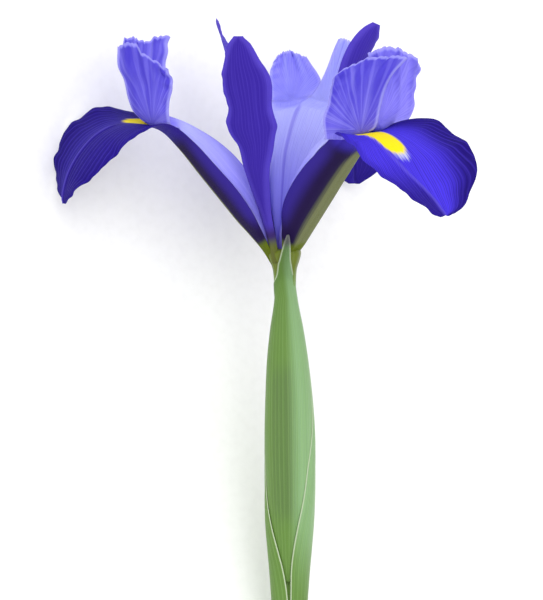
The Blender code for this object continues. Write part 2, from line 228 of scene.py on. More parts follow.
def petal_surface(stations, azimuth, size, twist=0.0, cup=1.0, ruffle=None):
    """The middle surface of a petal, with where each point is along and across it."""
    rows, columns = size
    values = smooth(stations, rows)
    spine = values[:, [0, 2, 1]]
    along = unit(np.gradient(spine, axis=0))
    side = unit(np.array([0.0, 1.0, 0.0]) - along * along[:, 1:2])
    normal = np.cross(along, side)
    turn = np.radians(twist) * np.linspace(0, 1, rows)[:, None] ** 1.5
    across = side * np.cos(turn) + normal * np.sin(turn)
    raised = np.cross(along, across)
    v = np.linspace(-1, 1, columns)
    share = np.abs(v)[None, :]
    width = np.where(v[None, :] > 0, values[:, 3:4], values[:, 4:5])
    lift = np.where(v[None, :] > 0, values[:, 5:6], values[:, 6:7]) * cup
    power = np.where(lift < 0, CREASE_POWER, 1.0)
    angle = np.radians(lift) * share**power
    half = width * share
    sideways = (np.sign(v)[None, :] * half * np.cos(angle))[..., None]
    grid = spine[:, None] + sideways * across[:, None]
    grid = grid + (half * np.sin(angle))[..., None] * raised[:, None]
    t = np.linspace(0, 1, rows)[:, None] * np.ones((1, columns))
    margin = width * (1 - share)
    if ruffle:
        grid = ruffled(grid, t, v, ruffle)
    return Petal(turned(grid, azimuth), t, v[None, :] * np.ones((rows, 1)), margin, values)


print("a station gives:", ", ".join(Station._fields))

# %% [markdown]
# ## Ruffled margins
#
# The rim of a petal grows a little longer than its middle, so it goes wavy. Cloth simulation
# could do this, but a few waves whose height grows towards the margin look the same and are
# easy to steer. The waves follow the length of the margin, so they keep their size round the
# petal's tip, and three of different lengths together never look regular.

# %% Waves along the margin
Ruffle = namedtuple("Ruffle", "height length start seed")


def grid_normals(grid):
    return unit(np.cross(np.gradient(grid, axis=0), np.gradient(grid, axis=1)))


def ruffled(grid, t, v, ruffle):
    """Adds waves along both margins, which start some way up the petal."""
    normal = grid_normals(grid)
    chance = np.random.default_rng(ruffle.seed)
    wave = np.zeros_like(t)
    for half in (v < 0, v >= 0):
        edge = grid[:, 0] if half[0] else grid[:, -1]
        steps = np.linalg.norm(np.diff(edge, axis=0), axis=1)
        length = np.concatenate([[0], np.cumsum(steps)])[:, None]
        for stretch, share in ((1.0, 0.55), (0.61, 0.3), (0.37, 0.15)):
            phase = chance.uniform(0, 2 * np.pi)
            turns = length / (ruffle.length * stretch)
            wave[:, half] += share * np.sin(2 * np.pi * turns + phase)
    grown = np.abs(v)[None, :] ** 3 * rise(t, ruffle.start, ruffle.start + 0.18)
    return grid + normal * (wave * grown * ruffle.height)[..., None]


print("a ruffle gives:", ", ".join(Ruffle._fields))

# %% [markdown]
# ## Veins in relief
#
# Veins run from a petal's base and fan out to its margin, so they repeat across the petal along
# a path: a job for Geometry Nodes. The tree reads the fan attribute, turns it into a wave and
# moves each point along its normal. The under face has its normal the other way, so there the
# wave is turned round and both faces bend together, as in a real sheet. One tree serves all the
# sheets, because its count, depth and material are named inputs. The ribs of the stem, further
# on, are the same wave around a stalk, so the wave has its own function.

# %% Small tools for node trees
def node(tree, kind, inputs=None, **settings):
    """Adds one node. Settings are its properties, and inputs its sockets' values or links."""
    made = tree.nodes.new(kind)
    for name, value in settings.items():
        setattr(made, name, value)
    for socket, value in (inputs or {}).items():
        if isinstance(value, bpy.types.NodeSocket):
            tree.links.new(value, made.inputs[socket])
        else:
            made.inputs[socket].default_value = value
    return made


def new_tree(name, wanted, facts=""):
    """A Geometry Nodes tree with inputs, as (name, socket type, value), and the piece's facts."""
    tree = bpy.data.node_groups.new(name, "GeometryNodeTree")
    sockets = tree.interface
    sockets.new_socket("Geometry", in_out="INPUT", socket_type="NodeSocketGeometry")
    for title, kind, value in wanted:
        made = sockets.new_socket(title, in_out="INPUT", socket_type=kind)
        if value is not None:
            made.default_value = value
    sockets.new_socket("Geometry", in_out="OUTPUT", socket_type="NodeSocketGeometry")
    read = {fact: node(tree, "GeometryNodeInputNamedAttribute", {"Name": fact},
                       data_type="FLOAT").outputs["Attribute"] for fact in facts.split()}
    return tree, node(tree, "NodeGroupInput").outputs, read


def end_tree(tree, geometry, material=None):
    """Ends a tree: instances become real, and the piece gets its material."""
    shown = node(tree, "GeometryNodeRealizeInstances", {"Geometry": geometry}).outputs[0]
    if material is not None:
        painted = {"Geometry": shown, "Material": material}
        shown = node(tree, "GeometryNodeSetMaterial", painted).outputs[0]
    node(tree, "NodeGroupOutput", {0: shown})


print("node tools are ready for Blender", bpy.app.version_string)

# %% [markdown]
# The wave is a formula on each point: the sine of its place across the petal, times the number
# of veins, gives its height. Towards the margins and on the claw the petal is calm, so there the
# height fades out.

# %% The vein tree
def waved(tree, geometry, fact, count, depth, calm):
    """Moves points along their normals in a sine wave across a fact, and less where it is calm."""
    turns = node(tree, "ShaderNodeMath", {0: fact, 1: count}, operation="MULTIPLY").outputs[0]
    angle = node(tree, "ShaderNodeMath", {0: turns, 1: 2 * np.pi}, operation="MULTIPLY").outputs[0]
    wave = node(tree, "ShaderNodeMath", {0: angle}, operation="SINE").outputs[0]
    lively = node(tree, "ShaderNodeMath", {0: 1.0, 1: calm}, operation="SUBTRACT").outputs[0]
    reach = node(tree, "ShaderNodeMath", {0: lively, 1: depth}, operation="MULTIPLY").outputs[0]
    height = node(tree, "ShaderNodeMath", {0: wave, 1: reach}, operation="MULTIPLY").outputs[0]
    normal = node(tree, "GeometryNodeInputNormal").outputs[0]
    offset = node(tree, "ShaderNodeVectorMath", {0: normal, "Scale": height},
                  operation="SCALE").outputs[0]
    return node(tree, "GeometryNodeSetPosition",
                {"Geometry": geometry, "Offset": offset}).outputs[0]


def vein_tree():
    wanted = [
        ("Vein count", "NodeSocketFloat", 10.0),
        ("Vein depth", "NodeSocketFloat", 0.05 * MM),
        ("Material", "NodeSocketMaterial", None),
    ]
    tree, given, fact = new_tree("veins_in_relief", wanted, "fan under calm")
    face = node(tree, "ShaderNodeMath", {0: fact["under"], 1: -2.0, 2: 1.0},
                operation="MULTIPLY_ADD").outputs[0]
    depth = node(tree, "ShaderNodeMath", {0: given["Vein depth"], 1: face},
                 operation="MULTIPLY").outputs[0]
    moved = waved(tree, given["Geometry"], fact["fan"], given["Vein count"], depth, fact["calm"])
    end_tree(tree, moved, given["Material"])
    return tree


def grow(piece, tree, **values):
    """Runs a tree on a piece, and keeps the result as its plain mesh."""
    modifier = piece.modifiers.new(tree.name, "NODES")
    modifier.node_group = tree
    for item in tree.interface.items_tree:
        title = item.name.lower().replace(" ", "_")
        if item.in_out == "INPUT" and title in values:
            modifier[item.identifier] = values[title]
    graph = bpy.context.evaluated_depsgraph_get()
    mesh = bpy.data.meshes.new_from_object(piece.evaluated_get(graph), depsgraph=graph)
    piece.modifiers.clear()
    piece.data = mesh
    mesh.name = piece.name
    return piece


VEINS = vein_tree()
print("vein tree:", len(VEINS.nodes), "nodes")

# %% [markdown]
# ## Colours in thin washes
#
# A petal gets its colour from sap in its skin cells, laid over pale flesh: more sap gives a deeper
# violet, and none leaves white or yellow. So each material starts from one colour and lays others
# over it as washes. A wash covers where its mask, a fact of the petal or a vein pattern, passes
# from low to high. With several masks it covers where all of them are, as their product. An
# image texture could hold all this, but washes stay sharp at any size.

# %% Colours and washes
def paint(code):
    """An sRGB hex colour as the linear colour that a shader expects."""
    parts = [int(code[place : place + 2], 16) / 255 for place in (0, 2, 4)]
    linear = [c / 12.92 if c <= 0.04045 else ((c + 0.055) / 1.055) ** 2.4 for c in parts]
    return (*linear, 1.0)


Wash = namedtuple("Wash", "masks low high colour strength")


def washed(tree, base, washes):
    """Lays washes over a base colour, in order, and returns the final colour's socket."""
    colour = paint(base)
    for wash in washes:
        mask, *others = wash.masks if isinstance(wash.masks, tuple) else [wash.masks]
        for other in others:
            mask = node(tree, "ShaderNodeMath", {0: mask, 1: other},
                        operation="MULTIPLY").outputs[0]
        cover = node(tree, "ShaderNodeMapRange",
                     {"Value": mask, "From Min": wash.low, "From Max": wash.high,
                      "To Max": wash.strength}, interpolation_type="SMOOTHSTEP").outputs[0]
        colour = node(tree, "ShaderNodeMix", {0: cover, 6: colour, 7: paint(wash.colour)},
                      data_type="RGBA").outputs[2]
    return colour


def vein_pattern(tree, fan, along, count, wander, stretch=3.0):
    """Vein lines from -1 to 1 that wander a little, and the long soft streaks behind them."""
    place = node(tree, "ShaderNodeMath", {0: fan, 1: count}, operation="MULTIPLY").outputs[0]
    length = node(tree, "ShaderNodeMath", {0: along, 1: stretch}, operation="MULTIPLY").outputs[0]
    spot = node(tree, "ShaderNodeCombineXYZ", {"X": place, "Y": length}).outputs[0]
    streak = node(tree, "ShaderNodeTexNoise",
                  {"Vector": spot, "Scale": 0.8, "Detail": 3.0}).outputs[0]
    bent = node(tree, "ShaderNodeMath", {0: streak, 1: wander, 2: place},
                operation="MULTIPLY_ADD").outputs[0]
    angle = node(tree, "ShaderNodeMath", {0: bent, 1: 2 * np.pi}, operation="MULTIPLY").outputs[0]
    lines = node(tree, "ShaderNodeMath", {0: angle}, operation="SINE").outputs[0]
    return lines, streak


def new_material(name, surface, facts=""):
    """A material whose surface settings sit on the shader, with the piece's facts as sockets."""
    material = bpy.data.materials.new(name)
    material.use_nodes = True
    tree = material.node_tree
    shader = tree.nodes["Principled BSDF"]
    for socket, value in surface.items():
        shader.inputs[socket].default_value = value
    sockets = {fact: node(tree, "ShaderNodeAttribute", attribute_name=fact).outputs["Fac"]
               for fact in facts.split()}
    return material, tree, shader, sockets


def finish_surface(tree, shader, colour, relief, distance):
    """Colour, and a relief too fine for the mesh, given as the height of its bumps in mm."""
    bump = node(tree, "ShaderNodeBump", {"Height": relief, "Distance": distance * MM,
                                         "Strength": 1.0}).outputs[0]
    tree.links.new(colour, shader.inputs["Base Color"])
    tree.links.new(bump, shader.inputs["Normal"])


print("violet 331F92 in linear light:", [round(part, 3) for part in paint("331F92")[:3]])

# %% [markdown]
# ## Petal tissue
#
# A petal's skin is made of tiny cone-shaped cells, each 0.03 mm wide. They scatter light like
# velvet, so a petal has a high roughness and some sheen, and shows almost no mirror reflection.
# The cells are far too fine to draw: they are drawn 0.25 mm wide, as a faint grain. Veins stand
# about 0.7 to 1.3 mm apart on the blade and show lighter than the sap around them.
# The falls, the three drooping petals, have a yellow signal along the middle to guide bees, with
# a white border, a green keel under the claw and green feet where they leave the tube.

# %% Fall tissue
GRAIN_SCALE = 1 / (0.25 * MM)
PETAL_SKIN = {"Roughness": 0.6, "IOR": 1.4, "Specular IOR Level": 0.1, "Sheen Weight": 0.02,
              "Sheen Roughness": 0.45, "Sheen Tint": paint("8F86E8")}


def skin_grain(tree, lines, share):
    """Fine grain of the skin cells, with the vein lines standing in it."""
    place = node(tree, "ShaderNodeTexCoord").outputs["Object"]
    grain = node(tree, "ShaderNodeTexNoise",
                 {"Vector": place, "Scale": GRAIN_SCALE, "Detail": 2.0}).outputs[0]
    return node(tree, "ShaderNodeMath", {0: lines, 1: share, 2: grain},
                operation="MULTIPLY_ADD").outputs[0]


def fall_tissue():
    material, tree, shader, fact = new_material(
        "fall_petal_tissue", PETAL_SKIN,
        "fan along under tone signal halo keel foot ridge rim claw flank")
    lines, streak = vein_pattern(tree, fact["fan"], fact["along"], 9.0, 0.7)
    fine, fine_streak = vein_pattern(tree, fact["fan"], fact["along"], 22.0, 1.2, 5.0)
    tufts = node(tree, "ShaderNodeMath", {0: fine_streak, 1: 1.4, 2: 0.3},
                 operation="MULTIPLY_ADD").outputs[0]
    streaky_keel = node(tree, "ShaderNodeMath", {0: streak, 1: 0.3, 2: fact["keel"]},
                        operation="MULTIPLY_ADD").outputs[0]
    under, claw = fact["under"], fact["claw"]
    colour = washed(tree, "190668", [
        # The tone wash is partly painted light and shade: it sets how pale each fall and each half
        # is painted.
        Wash(fact["tone"], 0.0, 1.0, "4634DC", 1.0),
        Wash(streak, 0.45, 0.75, "4331BC", 0.12),
        Wash(lines, 0.1, 1.0, "4E3CCC", 0.24),
        Wash(fine, 0.2, 1.0, "130656", 0.45),
        Wash(fact["rim"], 0.0, 1.0, "1E0E78", 0.35),
        # Painted highlight: a lighter line along the ridge, where light catches the fold.
        Wash(fact["ridge"], 0.2, 1.0, "5C4EC8", 0.55),
        Wash(under, 0.4, 0.6, "2E1F84", 0.5),
        Wash((under, claw), 0.3, 0.8, "1F1040", 1.0),
        Wash((under, claw, fact["flank"]), 0.1, 1.0, "35268C", 0.85),
        Wash((under, claw, streaky_keel), 0.5, 0.95, "767C50", 1.0),
        Wash((under, claw, fact["keel"], fine), 0.1, 0.9, "464A2C", 0.6),
        Wash((fact["halo"], fine_streak), 0.25, 0.5, "B9BCDC", 0.95),
        Wash((fact["signal"], tufts), 0.2, 0.5, "F0D90E", 1.0),
        Wash(fact["foot"], 0.25, 0.85, "62700E", 1.0),
        Wash((fact["foot"], fine), 0.1, 0.9, "4E5A16", 0.6),
    ])
    finish_surface(tree, shader, colour, skin_grain(tree, fine, 0.35), 0.03)
    return material


FALL = fall_tissue()
print("fall tissue:", len(FALL.node_tree.nodes), "nodes")

# %% [markdown]
# The standards, the three upright petals, are a plain deep violet that pales towards the margins.
# The style branches, which look like three more petals, are the palest: their thin flesh lets
# light through, so they get some subsurface scattering.

# %% Standard and style tissue
def standard_tissue():
    material, tree, shader, fact = new_material(
        "standard_petal_tissue", PETAL_SKIN, "fan along tone rim foot")
    lines, streak = vein_pattern(tree, fact["fan"], fact["along"], 7.0, 0.8)
    fine, fine_streak = vein_pattern(tree, fact["fan"], fact["along"], 17.0, 1.2, 5.0)
    colour = washed(tree, "331F92", [
        Wash(fact["tone"], 0.0, 1.0, "5848C6", 1.0),
        Wash(streak, 0.45, 0.75, "4634AC", 0.3),
        Wash(fact["rim"], 0.0, 1.0, "5C4AC6", 0.6),
        Wash(lines, 0.2, 1.0, "5846C0", 0.16),
        Wash(fine, 0.3, 1.0, "2B1A84", 0.3),
        Wash(fact["foot"], 0.05, 0.5, "3A2860", 0.9),
        Wash(fact["foot"], 0.5, 0.95, "6A7428", 1.0),
        Wash((fact["foot"], fine_streak), 0.3, 0.7, "4A3A48", 0.5),
    ])
    finish_surface(tree, shader, colour, skin_grain(tree, fine, 0.35), 0.025)
    return material


def style_tissue():
    clear = {"Subsurface Weight": 0.15, "Subsurface Radius": (1.2 * MM, 1.0 * MM, 1.6 * MM),
             "Subsurface Scale": 1.0}
    material, tree, shader, fact = new_material(
        "style_petal_tissue", {**PETAL_SKIN, **clear}, "fan along tone rim foot midline")
    lines, streak = vein_pattern(tree, fact["fan"], fact["along"], 10.0, 0.9)
    fine = vein_pattern(tree, fact["fan"], fact["along"], 24.0, 1.3, 5.0)[0]
    colour = washed(tree, "B2B6FC", [
        Wash(fact["tone"], 0.0, 0.5, "8A82F0", 1.0),
        Wash(fact["tone"], 0.5, 1.0, "4A40BE", 1.0),
        Wash(streak, 0.45, 0.75, "C4C2FC", 0.18),
        Wash(lines, 0.2, 1.0, "9A93F4", 0.18),
        Wash(fine, 0.2, 1.0, "4A3EB8", 0.2),
        Wash(fact["midline"], 0.2, 1.0, "6E60D8", 0.5),
        # Painted highlight: the branches' margins are painted paler along their rims.
        Wash(fact["rim"], 0.45, 1.0, "B4B4F8", 0.45),
        Wash(fact["foot"], 0.1, 0.9, "6C5AC8", 0.8),
    ])
    finish_surface(tree, shader, colour, skin_grain(tree, fine, 0.4), 0.03)
    return material


STANDARD, STYLE = standard_tissue(), style_tissue()
print("style tissue:", len(STYLE.node_tree.nodes), "nodes")

# %% [markdown]
# ## Green tissue and pollen
#
# The spathe leaves and the stem have a waxy skin over long strands of fibre: fine lengthwise
# stripes, a soft gloss, and a grey-blue bloom of wax, painted paler on the spathe's side that
# faces right, where it is also a painted highlight. The spathe's margins are papery and dry,
# without sap, so they are whitish, and its tip is grey.

# %% Leaf, tube, stem and stamen tissue
WAXY_SKIN = {"Roughness": 0.42, "IOR": 1.42, "Specular IOR Level": 0.4, "Coat Weight": 0.08,
             "Coat Roughness": 0.35}


def spathe_leaf():
    clear = {"Subsurface Weight": 0.1, "Subsurface Radius": (0.8 * MM, 1.2 * MM, 0.4 * MM),
             "Subsurface Scale": 1.0}
    material, tree, shader, fact = new_material(
        "spathe_leaf_tissue", {**WAXY_SKIN, **clear}, "fan along rim paper bloom band")
    lines, streak = vein_pattern(tree, fact["fan"], fact["along"], 26.0, 0.8, 2.0)
    fine, fine_streak = vein_pattern(tree, fact["fan"], fact["along"], 60.0, 1.5)
    dry = node(tree, "ShaderNodeMath", {0: fine_streak, 1: 0.5, 2: fact["rim"]},
               operation="MULTIPLY_ADD").outputs[0]
    colour = washed(tree, "5E8234", [
        # Painted shade: a darker band down the leaf's front, where the bud inside shades it.
        Wash(fact["band"], 0.0, 1.0, "54703A", 0.85),
        # Wax bloom, painted paler on the side that faces right: there it is also a painted
        # highlight.
        Wash(fact["bloom"], 0.0, 1.0, "86AC78", 1.0),
        Wash(streak, 0.4, 0.7, "5C8438", 0.25),
        Wash(lines, 0.1, 1.0, "82A85C", 0.2),
        Wash(fine, 0.2, 1.0, "507236", 0.22),
        Wash(dry, 0.75, 1.2, "B8C8A6", 0.9),
        # The tip, above where the petals meet, is washed grey.
        Wash(fact["paper"], 0.0, 1.0, "66646A", 0.9),
    ])
    finish_surface(tree, shader, colour, skin_grain(tree, fine, 0.6), 0.03)
    return material


def stalk_tissue(name, base, light, dark, purple):
    """Skin of the tube, the stem and the filaments: the same build in other colours."""
    material, tree, shader, fact = new_material(name, WAXY_SKIN, "around along cut top")
    lines, streak = vein_pattern(tree, fact["around"], fact["along"], 24.0, 0.9)
    colour = washed(tree, base, [
        Wash(streak, 0.4, 0.7, light, 0.5),
        Wash(lines, 0.2, 1.0, dark, 0.35),
        Wash(fact["top"], 0.0, 1.0, purple, 1.0),
        Wash(fact["cut"], 0.4, 0.6, "C7D49A", 1.0),
        Wash(fact["cut"], 0.75, 0.95, "E4E8CC", 0.9),
    ])
    finish_surface(tree, shader, colour, skin_grain(tree, lines, 0.5), 0.06)
    return material


def pollen_grain():
    """Dry waxy dust: fully rough, with a little sheen at its edges."""
    surface = {"Base Color": paint("E9DDB4"), "Roughness": 0.9, "Sheen Weight": 0.2}
    material, tree, shader = new_material("pollen_grain", surface)[:3]
    place = node(tree, "ShaderNodeTexCoord").outputs["Object"]
    speck = node(tree, "ShaderNodeTexNoise", {"Vector": place, "Scale": 900.0}).outputs[0]
    colour = washed(tree, "E9DDB4", [Wash(speck, 0.4, 0.7, "CDBB86", 0.8)])
    tree.links.new(colour, shader.inputs["Base Color"])
    return material


SPATHE = spathe_leaf()
TUBE = stalk_tissue("floral_tube_tissue", "6C8C38", "7C9C42", "4E6826", "62700E")
STEM = stalk_tissue("stem_skin", "6F9A3E", "86AE55", "557D30", "7BA04A")
STAMEN = stalk_tissue("stamen_tissue", "B9B2E8", "D2CDF6", "9288D0", "D8CFE0")
POLLEN = pollen_grain()
print("materials:", ", ".join(m.name for m in (FALL, STANDARD, STYLE, SPATHE, TUBE, STEM, STAMEN)))

# %% [markdown]
# ## The falls
#
# A fall has a narrow claw, folded like a gutter, which arches up and out and then spreads into a
# broad drooping blade. The blade hangs in two halves with a ridge between them. It could be
# sculpted, but the stations keep it where the CAD model has it. The sheet is about 0.5 mm thick,
# with a thicker keel under the claw, and thins to a third of that at its margins.

# %% Fall stations
LEFT_CLAW = [
    Station(1.6, -3.4, 0, 1.2, 1.2, 15, 20),
    Station(3.9, 0.3, 0, 2.6, 2.4, 22, 32),
    Station(6.9, 3.9, 0, 4.4, 4.4, 28, 46),
    Station(10.6, 8.0, 0, 6.6, 6.8, 30, 50),
    Station(15.0, 13.4, 0, 7.6, 7.8, 30, 46),
    Station(20.0, 19.6, 0, 7.4, 7.6, 28, 42),
    Station(25.0, 25.8, 0, 7.2, 7.4, 24, 33),
    Station(30.2, 30.6, 0, 8.0, 8.0, 15, 20),
]
RIGHT_CLAW = [
    Station(1.6, -3.4, 0, 2.0, 1.2, 10, 20),
    Station(4.0, 0.3, 0, 4.6, 2.2, 10, 32),
    Station(6.6, 3.9, 0, 5.6, 4.2, 10, 46),
    Station(10.2, 8.2, 0, 6.0, 6.8, 10, 50),
    Station(15.0, 13.5, 0, 6.4, 7.8, 12, 46),
    Station(20.2, 19.2, 0, 6.3, 7.6, 12, 42),
    Station(26.0, 25.1, 0, 6.7, 6.8, 15, 33),
    Station(31.0, 29.5, 0, 8.0, 7.2, 15, 20),
]
LEFT_BLADE = [
    Station(36.0, 32.0, 0, 10.0, 10.5, -5, 12),
    Station(41.0, 31.8, 0, 12.5, 14.0, -15, 16),
    Station(46.0, 29.5, 0, 13.0, 15.5, -20, 15),
    Station(50.0, 25.5, 0, 12.5, 14.5, -22, 15),
    Station(53.0, 20.5, 0, 10.0, 11.5, -20, 12),
    Station(54.5, 15.5, 0, 6.0, 6.0, -10, 6),
    Station(54.6, 12.5, 0, 1.5, 1.5, 0, 0),
]
RIGHT_BLADE = [
    Station(36.0, 31.4, 0, 10.5, 9.0, 15, -10),
    Station(41.0, 30.9, 0, 15.0, 10.0, 15, -12),
    Station(46.0, 28.7, 0, 16.0, 11.0, 12, -17),
    Station(50.0, 25.7, 0, 17.2, 10.5, 14, -15),
    Station(53.0, 22.3, 0, 16.6, 9.0, 16, -10),
    Station(55.8, 19.3, 0, 15.0, 7.0, 16, -6),
    Station(58.5, 16.6, 0, 11.5, 5.6, 12, 0),
    Station(61.5, 14.0, 0, 7.5, 3.8, 8, 0),
    Station(63.5, 12.5, 0, 1.5, 1.5, 0, 0),
]
FallPlan = namedtuple("FallPlan", "azimuth claw blade tones far_side signal halo ridge keel seed")
# A fall is seen as two halves, one to each side of its ridge. The far half is its left one where
# far_side is 1, and its right one where it is -1. The tones are painted light and shade: the near
# half's, the far half's and the one towards which the far margin and the near half's tip fade as
# the light leaves them: more is paler.
# The signal is its middle and half width across the petal, where it starts and ends, and the halo
# is how far its pale border reaches beyond it. The ridge, which is also painted lighter as a
# highlight, is where it starts, and how far to the side it runs there. The keel is its middle and
# half width, as shares of the claw's half width.
FALLS = {
    "left": FallPlan(
        azimuth=190.0, claw=LEFT_CLAW, blade=LEFT_BLADE, tones=(0.2, 0.26, 0.08), far_side=-1,
        signal=(-2.8, 3.3, 29.0, 42.0), halo=0.0, ridge=(40.0, 0.0), keel=(0.0, 0.14), seed=3),
    "right": FallPlan(
        azimuth=310.0, claw=RIGHT_CLAW, blade=RIGHT_BLADE, tones=(0.8, 0.85, 0.05), far_side=1,
        signal=(-1.4, 3.1, 31.0, 51.0), halo=1.2, ridge=(35.0, -4.5), keel=(0.55, 0.75), seed=5),
    "back": FallPlan(
        azimuth=70.0, claw=LEFT_CLAW, blade=LEFT_BLADE, tones=(0.45, 0.45, 0.2), far_side=1,
        signal=(0.0, 2.6, 28.0, 48.0), halo=1.2, ridge=(48.0, 0.0), keel=(0.0, 0.3), seed=8),
}
FALL_SIZE = (170, 97)
CLAW_END = 7
FALL_HALF_THICKNESS = 0.26
KEEL_HALF_THICKNESS = 0.35
RIDGE_HEIGHT = 0.45
for side, plan in FALLS.items():
    print(side, "fall:", len(plan.claw), "stations in its claw,", len(plan.blade), "in its blade")

# %% [markdown]
# The marks of a fall could be painted by hand on a UV map, but then they would have to be
# painted again whenever a station moved. Here each mark is a fact worked out from where a point
# is: how far out and how high it stands, how far from the midrib and how far from the margin.
# The ridge, the keel and the thin margin are real shape, made before the sheet gets its faces.
# The ridge is also painted lighter, as a highlight where light catches the fold.

# %% Make the falls
def fall_facts(petal, plan):
    t, v = petal.along, petal.across
    blade_start = CLAW_END / (len(plan.claw) + len(plan.blade) - 1)
    claw = 1 - rise(t, blade_start * 0.78, blade_start * 1.06)
    width = np.where(v > 0, petal.values[:, 3:4], petal.values[:, 4:5])
    across_mm = v * width
    out = petal.values[:, 0:1] * np.ones_like(v)
    middle, half, start, end = plan.signal
    length = rise(out, start, start + 3.5) * (1 - rise(out, end - 7.0, end))
    halo_length = rise(out, start, start + 3) * (1 - rise(out, end - 3, end + 2 * plan.halo))
    distance = np.abs(across_mm - middle)
    # The tones paint light and shade: each fall and each half is as pale as the light leaves it,
    # and the far margin and the near tip fade darker.
    near, far, margin = plan.tones
    ridge_start, ridge_side = plan.ridge
    ridge_place = ridge_side * (1 - rise(out, 48.0, 60.0))
    far_tone_and_light = far + (margin - far) * rise(np.abs(v), 0.25, 1.0)
    near_tone_and_light = near + (margin - near) * 0.8 * rise(out, 47.0, 60.0)
    far_share = rise(plan.far_side * (across_mm - ridge_place), -0.4, 0.4)
    height = petal.values[:, 1:2] * np.ones_like(v)
    return {
        "along": t,
        "fan": v / (0.45 + 0.85 * rise(t, blade_start * 0.8, 1.0)),
        "claw": claw,
        "tone": near_tone_and_light + (far_tone_and_light - near_tone_and_light) * far_share,
        "signal": length * np.clip(1.2 - distance / half, 0, 1) ** 0.7,
        "halo": min(plan.halo, 1.0) * halo_length
        * np.clip(1.15 - distance / (half + plan.halo), 0, 1),
        "keel": np.clip(1.35 - np.abs(v - plan.keel[0]) / plan.keel[1], 0, 1),
        "foot": 1 - rise(height, 0.2, 3.8),
        "flank": rise(np.abs(v), 0.2, 1.0) * rise(height, 2.0, 9.0),
        # This fact raises the ridge and also paints it lighter, as a highlight.
        "ridge": rise(out, ridge_start, ridge_start + 4)
        * np.clip(1 - np.abs(across_mm - ridge_place) / 0.9, 0, 1),
        "rim": 1 - rise(petal.margin, 0.2, 2.2),
        "calm": np.maximum(claw * 0.8, 1 - rise(petal.margin, 0.0, 1.2)),
    }


def edge_taper(petal, rows=4):
    """1 inside a petal, down to a third at its margins and its tip."""
    taper = 0.34 + 0.66 * rise(petal.margin, 0.0, 1.4)
    taper[-rows:] = np.minimum(taper[-rows:], np.linspace(0.8, 0.34, rows)[:, None])
    return taper


def make_fall(side, plan):
    ruffle = Ruffle(0.55, 9.0, 0.5, plan.seed)
    petal = petal_surface(plan.claw + plan.blade, plan.azimuth, FALL_SIZE, ruffle=ruffle)
    facts = fall_facts(petal, plan)
    keel = facts["claw"] * np.clip(1 - np.abs(petal.across) / 0.35, 0, 1)
    thickened = FALL_HALF_THICKNESS + KEEL_HALF_THICKNESS * keel
    half_thickness = thickened * edge_taper(petal)
    ridge = grid_normals(petal.grid) * (RIDGE_HEIGHT * facts["ridge"])[..., None]
    index = np.arange(petal.grid.shape[0] * petal.grid.shape[1]).reshape(FALL_SIZE)
    fall = thin_sheet(side + "_fall", (petal.grid + ridge).reshape(-1, 3), grid_quads(index),
                      half_thickness, facts)
    return grow(fall, VEINS, vein_count=9.0, vein_depth=0.02 * MM, material=FALL)


pieces = {}
for side, plan in FALLS.items():
    pieces["fall_" + side] = make_fall(side, plan)
    print(side, "fall:", len(pieces["fall_" + side].data.polygons), "faces")

# %% [markdown]
# ## The standards
#
# The standards stand between the falls: narrow at the foot, widest near the top, with a shallow
# groove along the middle. The two at the back are turned, so that one shows its edge only.

# %% Standard stations
FRONT_STANDARD = [
    Station(3.2, -3.0, 0, 0.8, 0.8, 10, 10),
    Station(3.9, 2.0, -0.6, 1.1, 1.1, 12, 12),
    Station(6.5, 8.4, -1.3, 1.5, 1.5, 15, 15),
    Station(9.4, 13.8, -1.6, 2.3, 2.3, 18, 18),
    Station(12.5, 21.0, -1.95, 3.6, 3.6, 18, 18),
    Station(14.0, 26.7, -1.8, 5.0, 5.0, 18, 18),
    Station(15.5, 31.3, -2.3, 6.9, 6.9, 15, 15),
    Station(17.0, 36.5, -2.3, 6.1, 6.1, 15, 15),
    Station(19.0, 43.0, -2.55, 6.8, 6.8, 15, 15),
    Station(20.5, 48.1, -3.0, 5.1, 5.1, 15, 15),
    Station(21.2, 52.6, -3.2, 3.2, 3.2, 12, 12),
    Station(21.4, 55.0, -3.3, 1.2, 1.2, 0, 0),
]
LEFT_STANDARD = [
    Station(3.2, -3.0, 0, 0.8, 0.8, 10, 10),
    Station(3.8, 2.0, 0, 1.1, 1.1, 20, 20),
    Station(5.6, 9.0, 0, 1.9, 1.9, 25, 25),
    Station(8.5, 18.0, 0, 3.6, 3.6, 28, 28),
    Station(11.5, 27.0, 0, 5.8, 5.8, 30, 30),
    Station(14.5, 35.5, 0, 7.4, 7.4, 30, 30),
    Station(18.0, 43.5, 0, 7.4, 7.4, 30, 30),
    Station(21.5, 50.0, 0, 5.4, 5.4, 28, 28),
    Station(24.0, 54.4, 0, 3.0, 3.0, 20, 20),
    Station(24.8, 56.4, 0, 1.2, 1.2, 10, 10),
]
RIGHT_STANDARD = [
    Station(3.2, -3.0, 0, 0.8, 0.8, 10, 10),
    Station(4.0, 2.0, 0, 1.1, 1.1, 20, 20),
    Station(5.8, 8.0, 0, 1.6, 1.6, 22, 22),
    Station(8.6, 14.0, 0, 2.0, 2.0, 22, 22),
    Station(11.8, 19.5, 0, 2.5, 2.5, 22, 22),
    Station(14.5, 25.5, 0, 3.2, 3.2, 22, 22),
    Station(16.2, 32.0, 0, 4.1, 4.1, 24, 24),
    Station(17.6, 38.5, 0, 4.9, 4.9, 24, 24),
    Station(19.4, 44.5, 0, 5.2, 5.2, 24, 24),
    Station(21.6, 50.0, 0, 4.6, 4.6, 22, 22),
    Station(23.6, 54.2, 0, 3.0, 3.0, 20, 20),
    Station(24.6, 56.4, 0, 1.2, 1.2, 10, 10),
]
StandardPlan = namedtuple("StandardPlan", "stations azimuth twist cup tone seed")
